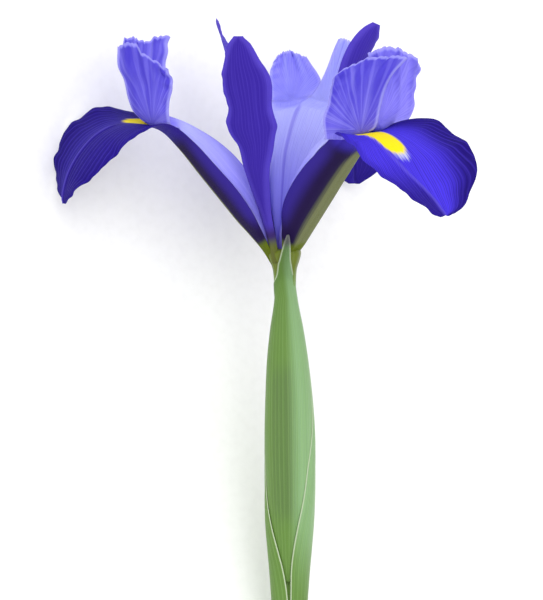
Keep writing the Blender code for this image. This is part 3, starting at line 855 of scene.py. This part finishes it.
STANDARDS = {
    "front": StandardPlan(FRONT_STANDARD, 250.0, 0.0, 1.0, 0.12, 11),
    "right": StandardPlan(RIGHT_STANDARD, 10.0, -72.0, 1.0, 0.3, 12),
    "left": StandardPlan(LEFT_STANDARD, 130.0, 60.0, 0.3, 0.6, 13),
}
STANDARD_SIZE = (150, 61)


def make_standard(side, plan):
    ruffle = Ruffle(0.35, 7.0, 0.45, plan.seed)
    petal = petal_surface(plan.stations, plan.azimuth, STANDARD_SIZE, twist=plan.twist,
                          cup=plan.cup, ruffle=ruffle)
    t, v = petal.along, petal.across
    height = petal.values[:, 1:2] * np.ones_like(v)
    facts = {
        "along": t,
        "fan": v / (0.6 + 0.55 * t),
        "tone": plan.tone * np.ones_like(t),
        "rim": 1 - rise(petal.margin, 0.2, 2.6),
        "foot": 1 - rise(height, -1.0, 9.0),
        "calm": np.maximum(1 - rise(t, 0.1, 0.35), 1 - rise(petal.margin, 0.0, 0.9)),
    }
    index = np.arange(t.size).reshape(STANDARD_SIZE)
    standard = thin_sheet(side + "_standard", petal.grid.reshape(-1, 3), grid_quads(index),
                          0.22 * edge_taper(petal), facts)
    return grow(standard, VEINS, vein_count=7.0, vein_depth=0.015 * MM, material=STANDARD)


for side, plan in STANDARDS.items():
    pieces["standard_" + side] = make_standard(side, plan)
    print(side, "standard:", len(pieces["standard_" + side].data.polygons), "faces")

# %% [markdown]
# ## The style branches
#
# Over each fall's claw arches a style branch: a vaulted arm that hides a stamen, and at its end
# two upright crest lobes. The arm and the lobes are one tissue, so they are drawn as one sheet.
# Each half of it is a ladder of ribs: the inner ends of the ribs run along the midline and then up
# the lobe's front edge, and the outer ends run along the arm's margin and up the lobe's rear
# edge. The two halves share their midline up to where the lobes part. The lobes' tops are
# ruffled and cut into small teeth.
#
# An arm hangs lower on one side, down into the claw that it roofs, so no slit opens between
# them. The back arm has sunk less and lies flatter.

# %% Arm stations and crest lobes
STYLE_ARM = [
    Station(1.2, -2.6, 0, 0.9, 0.7, -30, -20),
    Station(1.7, 3.0, 0, 3.2, 1.6, -60, -40),
    Station(3.4, 9.8, 0, 5.0, 3.4, -57, -47),
    Station(6.6, 17.0, 0, 7.1, 5.3, -52, -41),
    Station(10.7, 22.6, 0, 8.3, 6.8, -48, -44),
    Station(15.2, 26.8, 0, 7.8, 6.7, -42, -39),
    Station(20.0, 30.0, 0, 6.9, 6.6, -33, -32),
    Station(25.0, 32.6, 0, 6.3, 6.4, -28, -29),
]
BACK_ARM = [
    Station(1.2, -2.6, 0.0, 0.7, 0.7, -10, -10),
    Station(1.7, 3.0, 0.2, 1.2, 1.3, -22, -15),
    Station(3.4, 9.8, 0.6, 3.2, 3.0, -25, -14),
    Station(6.6, 17.0, 1.2, 4.6, 5.5, -25, -12),
    Station(10.7, 22.6, 2.0, 5.2, 7.8, -24, -10),
    Station(15.2, 26.8, 2.4, 5.6, 9.2, -20, -8),
    Station(20.0, 30.0, 2.9, 6.0, 10.0, -16, -8),
    Station(25.0, 32.6, 3.3, 7.0, 10.2, -12, -8),
]
# A lobe: its front and rear edges from the arm up, as (out, side, up), how much its top margin
# stands over a straight line, from front to rear, its bulge, its depth of colour, and how far
# along its foot its veins meet.
Crest = namedtuple("Crest", "front rear top bulge tones pivot")
BranchPlan = namedtuple("BranchPlan", "azimuth arm arm_tones left right seed")
BRANCHES = {
    "left": BranchPlan(190.0, STYLE_ARM, (0.32, 0.12), Crest(
        [(30.5, 0.2, 34.3), (35.4, 0.7, 34.2), (37.3, 1.2, 35.4), (38.8, 1.8, 38.8),
         (40.0, 2.8, 43.4), (41.7, 3.6, 47.0), (41.9, 4.4, 51.6)],
        [(26.4, 5.8, 31.4), (28.4, 5.8, 32.0), (29.0, 6.0, 34.0), (29.2, 6.6, 37.4),
         (28.6, 7.6, 41.0), (28.6, 8.4, 43.6), (29.9, 9.2, 46.4)],
        (0.0, 2.6, 3.6, 2.6, 1.2, 0.0), 1.6, (0.6, 1.0), 0.5), Crest(
        [(30.5, -0.2, 34.3), (34.6, -0.8, 34.2), (36.0, -1.1, 35.6), (37.2, -1.6, 40.0),
         (38.6, -2.2, 46.0), (39.4, -2.5, 50.0), (38.8, -2.6, 53.0)],
        [(26.4, -5.4, 31.4), (28.2, -5.2, 32.2), (28.4, -5.6, 35.0), (28.2, -6.6, 39.0),
         (27.8, -8.2, 44.0), (27.2, -9.6, 49.0), (26.6, -10.8, 53.0)],
        (0.0, 0.4, -0.4, -0.8, 0.3, 0.0), 1.4, (0.55, 0.85), 0.3), 21),
    "right": BranchPlan(310.0, STYLE_ARM, (0.3, 0.05), Crest(
        [(30.5, 0.3, 34.3), (34.2, 1.2, 33.8), (34.6, 1.6, 35.5), (34.5, 1.9, 38.5),
         (34.3, 2.0, 42.0), (33.9, 1.6, 46.0), (33.2, 0.6, 51.0)],
        [(26.4, 5.9, 31.4), (28.2, 8.5, 31.2), (29.3, 13.6, 32.0), (30.2, 17.6, 35.0),
         (30.4, 18.2, 39.0), (31.0, 18.3, 43.0), (31.5, 19.3, 46.3)],
        (0.0, 2.0, 3.2, 3.1, 2.2, 0.0), 1.4, (0.3, 0.8), 0.1), Crest(
        [(30.5, -0.1, 33.9), (34.4, -0.4, 32.0), (36.2, 0.8, 33.2), (37.0, 1.5, 37.8),
         (38.0, 2.2, 42.4), (39.5, 3.6, 46.5), (41.0, 7.0, 50.4)],
        [(25.0, -6.4, 29.6), (26.0, -7.3, 30.8), (26.0, -7.8, 35.0), (27.0, -7.3, 38.0),
         (27.4, -7.0, 40.6), (27.5, -6.5, 42.8), (27.6, -6.0, 45.0)],
        (0.0, 0.9, 2.0, 2.6, 2.0, 0.0), 2.0, (0.65, 1.0), 0.15), 22),
    "back": BranchPlan(73.0, BACK_ARM, (0.2, 0.0), Crest(
        [(30.0, 3.5, 34.4), (34.0, 3.0, 35.4), (35.4, 1.6, 37.2), (36.0, 0.3, 39.6),
         (35.6, 0.9, 41.6), (34.8, 2.2, 43.8), (34.0, 3.3, 45.8)],
        [(27.0, 10.6, 33.2), (28.6, 10.9, 34.4), (29.0, 11.2, 36.4), (29.3, 11.6, 39.2),
         (29.5, 11.8, 41.4), (29.8, 11.4, 43.6), (30.0, 10.7, 45.4)],
        (0.0, 0.9, 1.6, 1.6, 1.2, 0.0), 1.5, (0.15, 0.35), 0.4), Crest(
        [(30.0, 3.5, 34.4), (34.0, 3.0, 35.4), (35.4, 1.6, 37.2), (36.0, 0.2, 39.8),
         (35.6, -1.6, 43.6), (35.0, -3.2, 47.6), (34.5, -4.6, 50.6)],
        [(26.6, -7.0, 33.6), (27.4, -7.8, 35.2), (28.0, -8.4, 38.0), (28.5, -8.8, 41.2),
         (29.0, -9.0, 44.2), (30.0, -9.2, 47.2), (31.0, -9.4, 49.6)],
        (0.0, 0.4, 0.3, 0.4, 0.2, 0.0), 1.2, (0.0, 0.15), 0.3), 23),
}
HALF_SIZE = (150, 41)
BRANCH_HALF_THICKNESS = 0.24
LIP_HALF_THICKNESS = 0.15
FOOT_TONE = 0.55
TOOTH_HEIGHT = 0.55
LOBE_REACH = 60.0
# An arm is domed upwards, and a lobe outwards, which starts at the fold between them.
ARM_BULGE = -1.1
FOLD_BULGE = 1.4
print("style branches:", ", ".join(BRANCHES))

# %% [markdown]
# One half of a branch starts as a table with one row for each rib. The smooth curve turns the
# rows into many ribs, and a straight line from a rib's inner end to its outer end gives its
# points. Then the half is domed, and its lobe gets its top line, its teeth and its ruffles. The
# last function joins these steps and works out the facts.

# %% One half of a branch
def arm_margins(arm, sign):
    """The midline and one margin of the arm, as CAD stations give them."""
    values = np.array(arm, float)
    spine = values[:, [0, 2, 1]]
    along = unit(np.gradient(spine, axis=0))
    side = unit(np.array([0.0, 1.0, 0.0]) - along * along[:, 1:2])
    normal = np.cross(along, side)
    width = values[:, 3:4] if sign > 0 else values[:, 4:5]
    lift = np.radians(values[:, 5:6] if sign > 0 else values[:, 6:7])
    return spine, spine + sign * width * np.cos(lift) * side + width * np.sin(lift) * normal


def branch_table(arm, arm_tones, crest, sign):
    """The ribs' inner and outer ends, their bulge and tone, as one row for each rib."""
    inner, outer = arm_margins(arm, sign)
    inner = np.concatenate([inner, np.array(crest.front, float)])
    outer = np.concatenate([outer, np.array(crest.rear, float)])
    count = len(inner)
    arm_part = np.arange(count) < len(arm)
    steps = np.clip((np.arange(count) - len(arm)) / (count - len(arm) - 1), 0, 1)
    bulge = np.where(arm_part, ARM_BULGE, np.maximum(crest.bulge * steps, FOLD_BULGE))
    bulge[len(arm)] = FOLD_BULGE / 2
    low_tone, high_tone = crest.tones
    base_tone = np.interp(np.arange(count), [0, 4, len(arm)], [FOOT_TONE, *arm_tones])
    tone = np.where(arm_part, base_tone, low_tone + (high_tone - low_tone) * steps**0.6)
    return np.column_stack([inner, outer, bulge, tone])


def lobe_relief(t, w, crest_share, crest, chance):
    """How far the points of a half rise for its lobe's top and teeth, and swing for its ruffles."""
    top = smooth(np.array(crest.top)[:, None], len(w))[:, 0]
    teeth = np.abs(np.sin(np.pi * (w * 11 + chance.uniform(0, 1)))) ** 0.7
    teeth += 0.6 * np.abs(np.sin(np.pi * (w * 4.3 + chance.uniform(0, 1))))
    raised = crest_share**2 * top + TOOTH_HEIGHT * (teeth - 0.9) * rise(crest_share, 0.75, 1.0)
    ruffle = 0.5 * np.sin(2 * np.pi * (w * 2.6 + chance.uniform(0, 1)))
    ruffle += 0.3 * np.sin(2 * np.pi * (w * 5.7 + chance.uniform(0, 1)))
    rear_wave = 0.35 * np.sin(2 * np.pi * t * 13 + chance.uniform(0, 6)) * rise(w, 0.6, 1.0)
    return raised, ruffle, ruffle * crest_share**2.2 + rear_wave * crest_share


def vein_fan(grid, w, crest_share, foot_row, crest):
    """The arm's veins run along it; a lobe's veins spread from a pivot in the fold at its foot."""
    foot = grid[foot_row]
    pivot = foot[0] + crest.pivot * (foot[-1] - foot[0])
    upward = unit(grid[-1, grid.shape[1] // 2] - pivot)
    sideways = unit(foot[-1] - foot[0])
    spoke = unit(grid - pivot)
    angle = np.arctan2(spoke @ sideways, np.maximum(spoke @ upward, 0.05))
    spread = rise(crest_share, 0.02, 0.12)
    return (w[None, :] + 0.02) * (1 - spread) + (0.5 + angle / 1.6) * spread


def half_branch(arm, arm_tones, crest, sign, chance):
    """One half of a branch: its points from midline to margin, its facts and its thickness."""
    rows, columns = HALF_SIZE
    ribs = branch_table(arm, arm_tones, crest, sign)
    crest_start = (len(arm) + 1) / (len(ribs) - 1)
    table = smooth(ribs, rows)
    inner, outer, bulge, tone = np.split(table, [3, 6, 7], axis=1)
    w = np.linspace(0, 1, columns)
    t = np.linspace(0, 1, rows)[:, None] * np.ones((1, columns))
    crest_share = np.clip((t - crest_start) / (1 - crest_start), 0, 1)
    grid = inner[:, None] + (outer - inner)[:, None] * w[None, :, None]
    along = unit(np.gradient(grid, axis=0))
    outward = -sign * unit(np.cross(along, (outer - inner)[:, None] * np.ones_like(grid)))
    raised, ruffle, swing = lobe_relief(t, w, crest_share, crest, chance)
    swing = swing + bulge * np.sin(np.pi * w)[None, :]
    grid = grid + outward * swing[..., None] + along * raised[..., None]
    width = np.linalg.norm(outer - inner, axis=1)[:, None]
    top_gap = (1 - t) * LOBE_REACH
    front_gap = np.where(crest_share > 0.02, width * w[None, :], 9.0)
    margin = np.minimum(np.minimum(width * (1 - w)[None, :], front_gap), top_gap)
    facts = {
        "along": t,
        "fan": sign * vein_fan(grid, w, crest_share, int(rows * crest_start), crest),
        # On the lobes the colour goes deeper and paler with the ruffles' waves: painted shade and
        # light on them.
        "tone": tone + 0.12 * (ruffle - 0.2) * crest_share,
        "midline": (1 - rise(w, 0.02, 0.13))[None, :] * (1 - rise(t, 0.5, 0.62)),
        "rim": 1 - rise(margin, 0.2, 1.6),
        "foot": 1 - rise(t, 0.02, 0.14),
        "calm": np.maximum(1 - rise(margin, 0.0, 0.8), 1 - rise(t, 0.1, 0.3)),
    }
    taper = 0.36 + 0.64 * rise(margin, 0.0, 1.2)
    return grid, facts, BRANCH_HALF_THICKNESS * taper


print("points in one half:", HALF_SIZE[0] * HALF_SIZE[1])

# %% [markdown]
# The two halves are joined along the midline of the arm: their points there are moved to the
# same place and become one. Above the parting each lobe keeps its own front edge. The stigma
# lip, a small flap where pollen is left, hangs under the arm's end and goes into the same mesh.

# %% Make the style branches
def stigma_lip(azimuth):
    """The small flap under the arm's end, which takes up the pollen."""
    u, v = np.meshgrid(np.linspace(0, 1, 9), np.linspace(-1, 1, 15), indexing="ij")
    out = 31.0 + 1.9 * u - 1.2 * v**2
    side = 3.3 * v * (1 - 0.12 * u)
    up = 33.4 - 0.9 * np.sin(np.pi * 0.5 * u) - 0.9 * v**2 - 0.25 * u
    return turned(np.stack([out, side, up], axis=-1), azimuth)


def make_branch(side, plan):
    chance = np.random.default_rng(plan.seed)
    rows, columns = HALF_SIZE
    left = half_branch(plan.arm, plan.arm_tones, plan.left, 1.0, chance)
    right = half_branch(plan.arm, plan.arm_tones, plan.right, -1.0, chance)
    left_index = np.arange(rows * columns).reshape(HALF_SIZE)
    right_index = left_index + rows * columns
    parting = int(rows * (len(plan.arm) + 0.6) / (len(plan.arm) + len(plan.left.front) - 1))
    shared = (left[0][:parting, 0] + right[0][:parting, 0]) / 2
    left[0][:parting, 0] = shared
    points = np.concatenate([left[0].reshape(-1, 3), right[0].reshape(-1, 3)])
    right_index[:parting, 0] = left_index[:parting, 0]
    lip = stigma_lip(plan.azimuth)
    lip_count = lip[..., 0].size
    lip_index = np.arange(lip_count).reshape(lip.shape[:2]) + len(points)
    quads = np.concatenate([grid_quads(left_index), grid_quads(right_index)[:, ::-1],
                            grid_quads(lip_index)])
    points = np.concatenate([turned(points, plan.azimuth), lip.reshape(-1, 3)])
    lip_facts = {"along": 0.6, "tone": 0.1}
    facts = {fact: np.concatenate([left[1][fact].ravel(), right[1][fact].ravel(),
                                   np.full(lip_count, lip_facts.get(fact, 0.0))])
             for fact in left[1]}
    half_thickness = np.concatenate([left[2].ravel(), right[2].ravel(),
                                     np.full(lip_count, LIP_HALF_THICKNESS)])
    used, place = np.unique(quads, return_inverse=True)
    quads = place.reshape(quads.shape)
    facts = {fact: values[used] for fact, values in facts.items()}
    branch = thin_sheet(side + "_style_branch", points[used], quads, half_thickness[used], facts)
    return grow(branch, VEINS, vein_count=8.0, vein_depth=0.018 * MM, material=STYLE)


for side, plan in BRANCHES.items():
    pieces["style_branch_" + side] = make_branch(side, plan)
    print(side, "style branch:", len(pieces["style_branch_" + side].data.polygons), "faces")

# %% [markdown]
# ## Round stalks
#
# The floral tube, the stem and the stamens are round bodies that follow a path, which is what
# the Curve to Mesh node is for. The path is a line of points that carry their own thickness, and
# the profile is a circle. Low ribs run along them, because the tissue is bundles of fibre. The
# stem's last rings draw in to a point within 0.1 mm, which makes the flat cut with its pale pith.

# %% The stalk tree
def stalk_tree():
    wanted = [
        ("Sides", "NodeSocketInt", 48),
        ("Ribs", "NodeSocketFloat", 12.0),
        ("Rib depth", "NodeSocketFloat", 0.05 * MM),
        ("Material", "NodeSocketMaterial", None),
    ]
    tree, given, fact = new_tree("ribbed_stalk", wanted, "girth around cut")
    circle = node(tree, "GeometryNodeCurvePrimitiveCircle",
                  {"Resolution": given["Sides"], "Radius": 1.0}).outputs["Curve"]
    turn = node(tree, "GeometryNodeSplineParameter").outputs["Factor"]
    circle = node(tree, "GeometryNodeStoreNamedAttribute",
                  {"Geometry": circle, "Name": "around", "Value": turn}).outputs[0]
    path = node(tree, "GeometryNodeMeshToCurve", {"Mesh": given["Geometry"]}).outputs[0]
    body = node(tree, "GeometryNodeCurveToMesh",
                {"Curve": path, "Profile Curve": circle, "Scale": fact["girth"],
                 "Fill Caps": True}).outputs[0]
    ribbed = waved(tree, body, fact["around"], given["Ribs"], given["Rib depth"], fact["cut"])
    soft = node(tree, "GeometryNodeSetShadeSmooth", {"Geometry": ribbed}).outputs[0]
    end_tree(tree, soft, given["Material"])
    return tree


STALK = stalk_tree()
print("stalk tree:", len(STALK.nodes), "nodes")


def make_stalk(name, path, radii, material, cut=None, top=None, sides=48, ribs=12.0,
               rib_depth=0.05):
    """A ribbed round body along a path in the flower's frame."""
    mesh = bpy.data.meshes.new(name)
    lines = [(step, step + 1) for step in range(len(path) - 1)]
    mesh.from_pydata(laid(path).tolist(), lines, [])
    zero = np.zeros(len(path))
    facts = {"girth": np.asarray(radii) * MM, "along": np.linspace(0, 1, len(path)),
             "cut": zero if cut is None else cut, "top": zero if top is None else top}
    for fact, values in facts.items():
        attribute = mesh.attributes.new(fact, "FLOAT", "POINT")
        attribute.data.foreach_set("value", np.asarray(values, np.float32))
    stalk = bpy.data.objects.new(name, mesh)
    bpy.context.scene.collection.objects.link(stalk)
    return grow(stalk, STALK, sides=sides, ribs=ribs, rib_depth=rib_depth * MM, material=material)


# %% [markdown]
# ## The floral tube and the stem
#
# The petals grow out of a slim floral tube, of which only the flared top shows above the
# spathe. The flare reaches round the feet of the petals and closes over between them, so that
# no gap shows where they join. The stem below is cut off square, a hand's width under the flower.

# %% Make the tube and the stem
TUBE_PROFILE = [
    (0.6, 0.3), (0.55, 1.8), (0.35, 3.2), (-0.1, 3.9), (-1.0, 4.1), (-2.5, 3.7), (-4.0, 3.15),
    (-5.4, 2.85), (-7.5, 2.7), (-10.0, 2.6), (-12.8, 2.4), (-20.0, 2.4), (-30.0, 2.6),
    (-48.0, 3.0), (-65.0, 2.8), (-77.7, 2.3),
]
TUBE_POINTS = 120
TUBE_LEAN = [(-60.0, 2.4), (-35.0, 2.1), (-12.0, 1.3), (-3.0, 1.15), (2.0, 1.0)]
STEM_POINTS = 60
CUT_RINGS = [(0.03, 0.97), (0.06, 0.9), (0.07, 0.55), (0.075, 0.25), (0.08, 0.02)]


def leaning_path(heights):
    return np.stack([axis_x(heights), np.zeros(len(heights)), heights], axis=-1)


tube = smooth(TUBE_PROFILE[::-1], TUBE_POINTS)
tube_x = np.interp(tube[:, 0], *zip(*TUBE_LEAN))
tube_path = np.stack([tube_x, np.zeros(TUBE_POINTS), tube[:, 0]], axis=-1)
pieces["floral_tube"] = make_stalk("flower_tube", tube_path, tube[:, 1], TUBE,
                                   top=rise(tube[:, 0], -9.0, -2.6), ribs=9.0, rib_depth=0.12)
stem = smooth(STEM_PROFILE, STEM_POINTS)
heights = np.concatenate([stem[:, 0], [stem[-1, 0] - down for down, _ in CUT_RINGS]])
radii = np.concatenate([stem[:, 1], [stem[-1, 1] * share for _, share in CUT_RINGS]])
cut = np.concatenate([np.zeros(STEM_POINTS), np.linspace(0.5, 1.0, len(CUT_RINGS))])
pieces["stem"] = make_stalk("flower_stem", leaning_path(heights), radii, STEM, cut=cut,
                            sides=72, ribs=18.0, rib_depth=0.06)
print("stem length, mm:", round(heights[0] - heights[-1], 1))

# %% [markdown]
# ## The stamens
#
# Under each style branch lies one stamen: a thin filament and a long anther that has split along
# its length and shed pollen. Grains are scattered over the anther's face by a tree with a fixed
# seed, so they fall in the same places each time. Real grains are 0.1 mm wide; these are
# 0.2 mm, so that they can be seen, and each is a ball of few faces.

# %% Make the stamens with their pollen
STAMEN_PATH = [
    (2.15, -2.6, 0.33), (2.9, 2.5, 0.33), (5.0, 8.6, 0.36), (8.6, 13.8, 0.38), (12.6, 18.2, 0.4),
    (14.4, 20.0, 0.85), (18.0, 23.2, 0.95), (21.5, 26.2, 0.9), (24.0, 28.2, 0.4),
]
STAMEN_POINTS = 90


def pollen_tree():
    wanted = [
        ("Grain radius", "NodeSocketFloat", 0.1 * MM),
        ("Density", "NodeSocketFloat", 2.0e6),
        ("Seed", "NodeSocketInt", 4),
        ("Material", "NodeSocketMaterial", None),
    ]
    tree, given, fact = new_tree("scattered_pollen", wanted, "top")
    scatter = node(tree, "GeometryNodeDistributePointsOnFaces",
                   {"Mesh": given["Geometry"], "Density": given["Density"], "Seed": given["Seed"],
                    "Selection": fact["top"]})
    ball = node(tree, "GeometryNodeMeshIcoSphere",
                {"Radius": given["Grain radius"], "Subdivisions": 1}).outputs["Mesh"]
    grains = node(tree, "GeometryNodeInstanceOnPoints",
                  {"Points": scatter.outputs["Points"], "Instance": ball}).outputs[0]
    grains = node(tree, "GeometryNodeRealizeInstances", {"Geometry": grains}).outputs[0]
    grains = node(tree, "GeometryNodeSetMaterial",
                  {"Geometry": grains, "Material": given["Material"]}).outputs[0]
    both = node(tree, "GeometryNodeJoinGeometry", {"Geometry": given["Geometry"]})
    tree.links.new(grains, both.inputs["Geometry"])
    end_tree(tree, both.outputs[0])
    return tree


POLLEN_TREE = pollen_tree()
for number, (side, plan) in enumerate(BRANCHES.items()):
    values = smooth(STAMEN_PATH, STAMEN_POINTS)
    path = np.stack([values[:, 0], np.zeros(STAMEN_POINTS), values[:, 1]], axis=-1)
    anther = rise(values[:, 2], 0.6, 0.75)
    stamen = make_stalk(side + "_stamen", turned(path, plan.azimuth), values[:, 2], STAMEN,
                        top=anther, sides=20, ribs=2.0, rib_depth=0.1)
    pieces["stamen_" + side] = grow(stamen, POLLEN_TREE, seed=4 + number, material=POLLEN)
    print(side, "stamen with pollen:", len(stamen.data.polygons), "faces")

# %% [markdown]
# ## The spathe
#
# Two leaves without blades sheathe the stem below the flower, one inside the other. Each is a
# sheet wrapped round the stem, given row by row as its height, its radius and the directions of
# its two margins. The margins draw together upwards, and where they part the inner leaf shows
# in a long V. The outer leaf's margins hug the inner leaf. Veins run the whole length, side by
# side.

# %% Make the spathe leaves
OUTER_VALVE = [
    (-92.0, 4.1, -88, 266), (-86.0, 4.5, -87, 262), (-80.0, 4.95, -86, 250),
    (-75.0, 5.4, -80, 235), (-69.0, 5.9, -69, 216), (-62.0, 6.2, -54, 196),
    (-54.0, 6.35, -40, 182), (-45.0, 6.45, -18, 172), (-36.0, 6.15, 0, 166),
    (-28.0, 5.6, 10, 160), (-20.0, 4.7, 28, 142), (-15.0, 3.9, 62, 112),
]
INNER_VALVE = [
    (-83.0, 3.6, 150, 390), (-77.0, 4.3, 140, 400), (-70.0, 5.0, 135, 405),
    (-60.0, 5.6, 130, 410), (-48.0, 5.85, 128, 412), (-37.0, 5.6, 126, 414),
    (-28.0, 5.0, 122, 418), (-20.0, 4.0, 118, 422), (-13.0, 2.8, 116, 424),
    (-9.0, 2.65, 180, 380), (-6.2, 3.0, 235, 328), (-3.0, 4.3, 258, 304),
    (0.0, 5.4, 270, 296), (4.5, 8.3, 281, 285),
]
VALVE_SIZE = (170, 110)


def make_valve(name, valve, hug):
    rows, columns = VALVE_SIZE
    values = smooth(valve, rows)
    share = np.linspace(0, 1, columns)[None, :]
    low, high = values[:, 2:3], values[:, 3:4]
    direction = low + (high - low) * share
    angle = np.radians(direction)
    height = values[:, 0:1] * np.ones((1, columns))
    radius = values[:, 1:2] * np.ones((1, columns))
    across = np.abs(share - 0.5) * 2
    margin = radius * np.radians(high - low) / 2 * (1 - across)
    radius = radius - hug * (1 - rise(margin, 0.0, 4.0))
    x = axis_x(height) + radius * np.cos(angle)
    points = np.stack([x, radius * np.sin(angle), height], axis=-1)
    t = np.linspace(0, 1, rows)[:, None] * np.ones((1, columns))
    facing_camera = np.cos(np.radians(direction - 275.0))
    facts = {
        "along": t,
        "fan": (share - 0.5) * np.ones_like(t),
        "rim": 1 - rise(margin, 0.15, 0.7),
        "paper": rise(height, 0.0, 3.5),
        # The bloom and the painted highlight lie on the side that faces right.
        "bloom": rise(np.cos(np.radians(direction - 335.0)), 0.2, 1.0) * rise(height, -95.0, -60.0),
        # The band of painted shade lies on the side that faces the camera.
        "band": rise(facing_camera, 0.3, 1.0) * rise(height, -72.0, -62.0) * (1 - rise(height, -34, -24)),
        "calm": 1 - rise(margin, 0.0, 0.8),
    }
    index = np.arange(rows * columns).reshape(VALVE_SIZE)
    taper = 0.3 + 0.7 * rise(margin, 0.0, 1.5)
    leaf = thin_sheet(name, points.reshape(-1, 3), grid_quads(index), 0.2 * taper, facts)
    return grow(leaf, VEINS, vein_count=34.0, vein_depth=0.02 * MM, material=SPATHE)


pieces["spathe_outer"] = make_valve("outer_spathe", OUTER_VALVE, 0.35)
pieces["spathe_inner"] = make_valve("inner_spathe", INNER_VALVE, 0.0)
for leaf in ("spathe_outer", "spathe_inner"):
    print(leaf + ":", len(pieces[leaf].data.polygons), "faces")

# %% [markdown]
# ## Putting the pieces in place of the CAD pieces
#
# Every piece stands for one CAD piece: it hangs from the root body, and that CAD piece is hidden.


def enclosed_volume(piece):
    """The volume inside a closed mesh, in mm3: negative if its faces point inwards."""
    mesh = piece.data
    mesh.calc_loop_triangles()
    points = np.empty(len(mesh.vertices) * 3, np.float32)
    mesh.vertices.foreach_get("co", points)
    corners = np.empty(len(mesh.loop_triangles) * 3, np.int32)
    mesh.loop_triangles.foreach_get("vertices", corners)
    tri = points.reshape(-1, 3)[corners.reshape(-1, 3)].astype(float)
    return np.einsum("ij,ij->i", tri[:, 0], np.cross(tri[:, 1], tri[:, 2])).sum() / 6 / MM**3


for cad_node, piece in pieces.items():
    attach(piece, "root")
    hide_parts(cad_node)
    triangles = sum(len(face.vertices) - 2 for face in piece.data.polygons)
    print(cad_node, triangles, "triangles,", round(enclosed_volume(piece), 1), "mm3")

# %% [markdown]
# ## Table, light and camera
#
# A white table and a bright white sky light the flower from all sides, so that shadows stay
# soft and the colours true. One large lamp above its head gives the petals their shape.

# %% Table and light
TABLE_HALF = 3.0
SKY_STRENGTH = 1.1
LAMP_SIZE = 0.8
LAMP_WATTS = 2.4
LAMP_DISTANCE = 0.75
LAMP_WAY = (0.25, -0.95, 0.5)


def white_board():
    """Matte painted board: fully rough, with a trace of roller texture."""
    paint_film = {"Roughness": 0.95, "Specular IOR Level": 0.1}
    material, tree, shader = new_material("matte_white_board", paint_film)[:3]
    place = node(tree, "ShaderNodeTexCoord").outputs["Object"]
    mottle = node(tree, "ShaderNodeTexNoise", {"Vector": place, "Scale": 400.0}).outputs[0]
    colour = washed(tree, "FBFBFA", [Wash(mottle, 0.3, 0.8, "F7F7F6", 1.0)])
    finish_surface(tree, shader, colour, mottle, 0.02)
    return material


table_mesh = bpy.data.meshes.new("table_top")
corners = [(x * TABLE_HALF, y * TABLE_HALF, 0) for x, y in ((-1, -1), (1, -1), (1, 1), (-1, 1))]
table_mesh.from_pydata(corners, [], [(0, 1, 2, 3)])
table_mesh.materials.append(white_board())
table = bpy.data.objects.new("table_top", table_mesh)
bpy.context.scene.collection.objects.link(table)

world = bpy.data.worlds.new("white_sky")
world.use_nodes = True
sky = world.node_tree.nodes["Background"]
sky.inputs["Color"].default_value = (1.0, 1.0, 1.0, 1.0)
sky.inputs["Strength"].default_value = SKY_STRENGTH
bpy.context.scene.world = world
bpy.context.scene.view_settings.view_transform = "Standard"


def toward(direction):
    """A direction in the flower's frame, on the table."""
    return unit(TURN @ np.array(direction, float))


def aimed(thing, place, look, up):
    """Puts a lamp or camera at a place, looking along a direction with this way up."""
    back = -unit(np.array(look))
    right = unit(np.cross(up, back))
    above = np.cross(back, right)
    matrix = Matrix.Identity(4)
    for axis, vector in enumerate((right, above, back, place)):
        for row in range(3):
            matrix[row][axis] = vector[row]
    thing.matrix_world = matrix


lamp = bpy.data.lights.new("soft_box", "AREA")
lamp.shape = "SQUARE"
lamp.size = LAMP_SIZE
lamp.energy = LAMP_WATTS
soft_box = bpy.data.objects.new("soft_box", lamp)
bpy.context.scene.collection.objects.link(soft_box)
lamp_way = toward(LAMP_WAY)
lamp_place = laid((0, 0, 10)) + LAMP_DISTANCE * lamp_way
aimed(soft_box, lamp_place, -lamp_way, (0.0, 0.0, 1.0))
print("lamp:", LAMP_WATTS, "W,", LAMP_SIZE, "m wide, at", LAMP_DISTANCE, "m from the flower")

# %% [markdown]
# The camera looks down on the flower along the direction that was its front, a little from
# above, and from far enough away to keep the near and far petals at their true sizes. Its focal
# length follows from the height that the picture has to show at that distance.

# %% Camera
VIEW_HEIGHT = 150.0
VIEW_DISTANCE = 4.5
LOOK_DOWN = np.radians(5.0)
VIEW_CENTRE = (-2.125, 0.0, -12.5)
camera_data = bpy.data.cameras.new("camera")
camera_data.sensor_fit = "VERTICAL"
camera_data.sensor_height = 24.0
camera_data.lens = 24.0 * VIEW_DISTANCE / (VIEW_HEIGHT * MM)
camera_data.clip_start = 0.05
camera_data.clip_end = 20.0
camera = bpy.data.objects.new("camera", camera_data)
bpy.context.scene.collection.objects.link(camera)
view_way = toward((0.0, -np.cos(LOOK_DOWN), np.sin(LOOK_DOWN)))
picture_up = toward((0.0, np.sin(LOOK_DOWN), np.cos(LOOK_DOWN)))
aimed(camera, laid(VIEW_CENTRE) + VIEW_DISTANCE * view_way, -view_way, picture_up)
bpy.context.scene.camera = camera
print("the camera looks down at", round(float(np.degrees(np.arcsin(view_way[2]))), 1), "degrees")
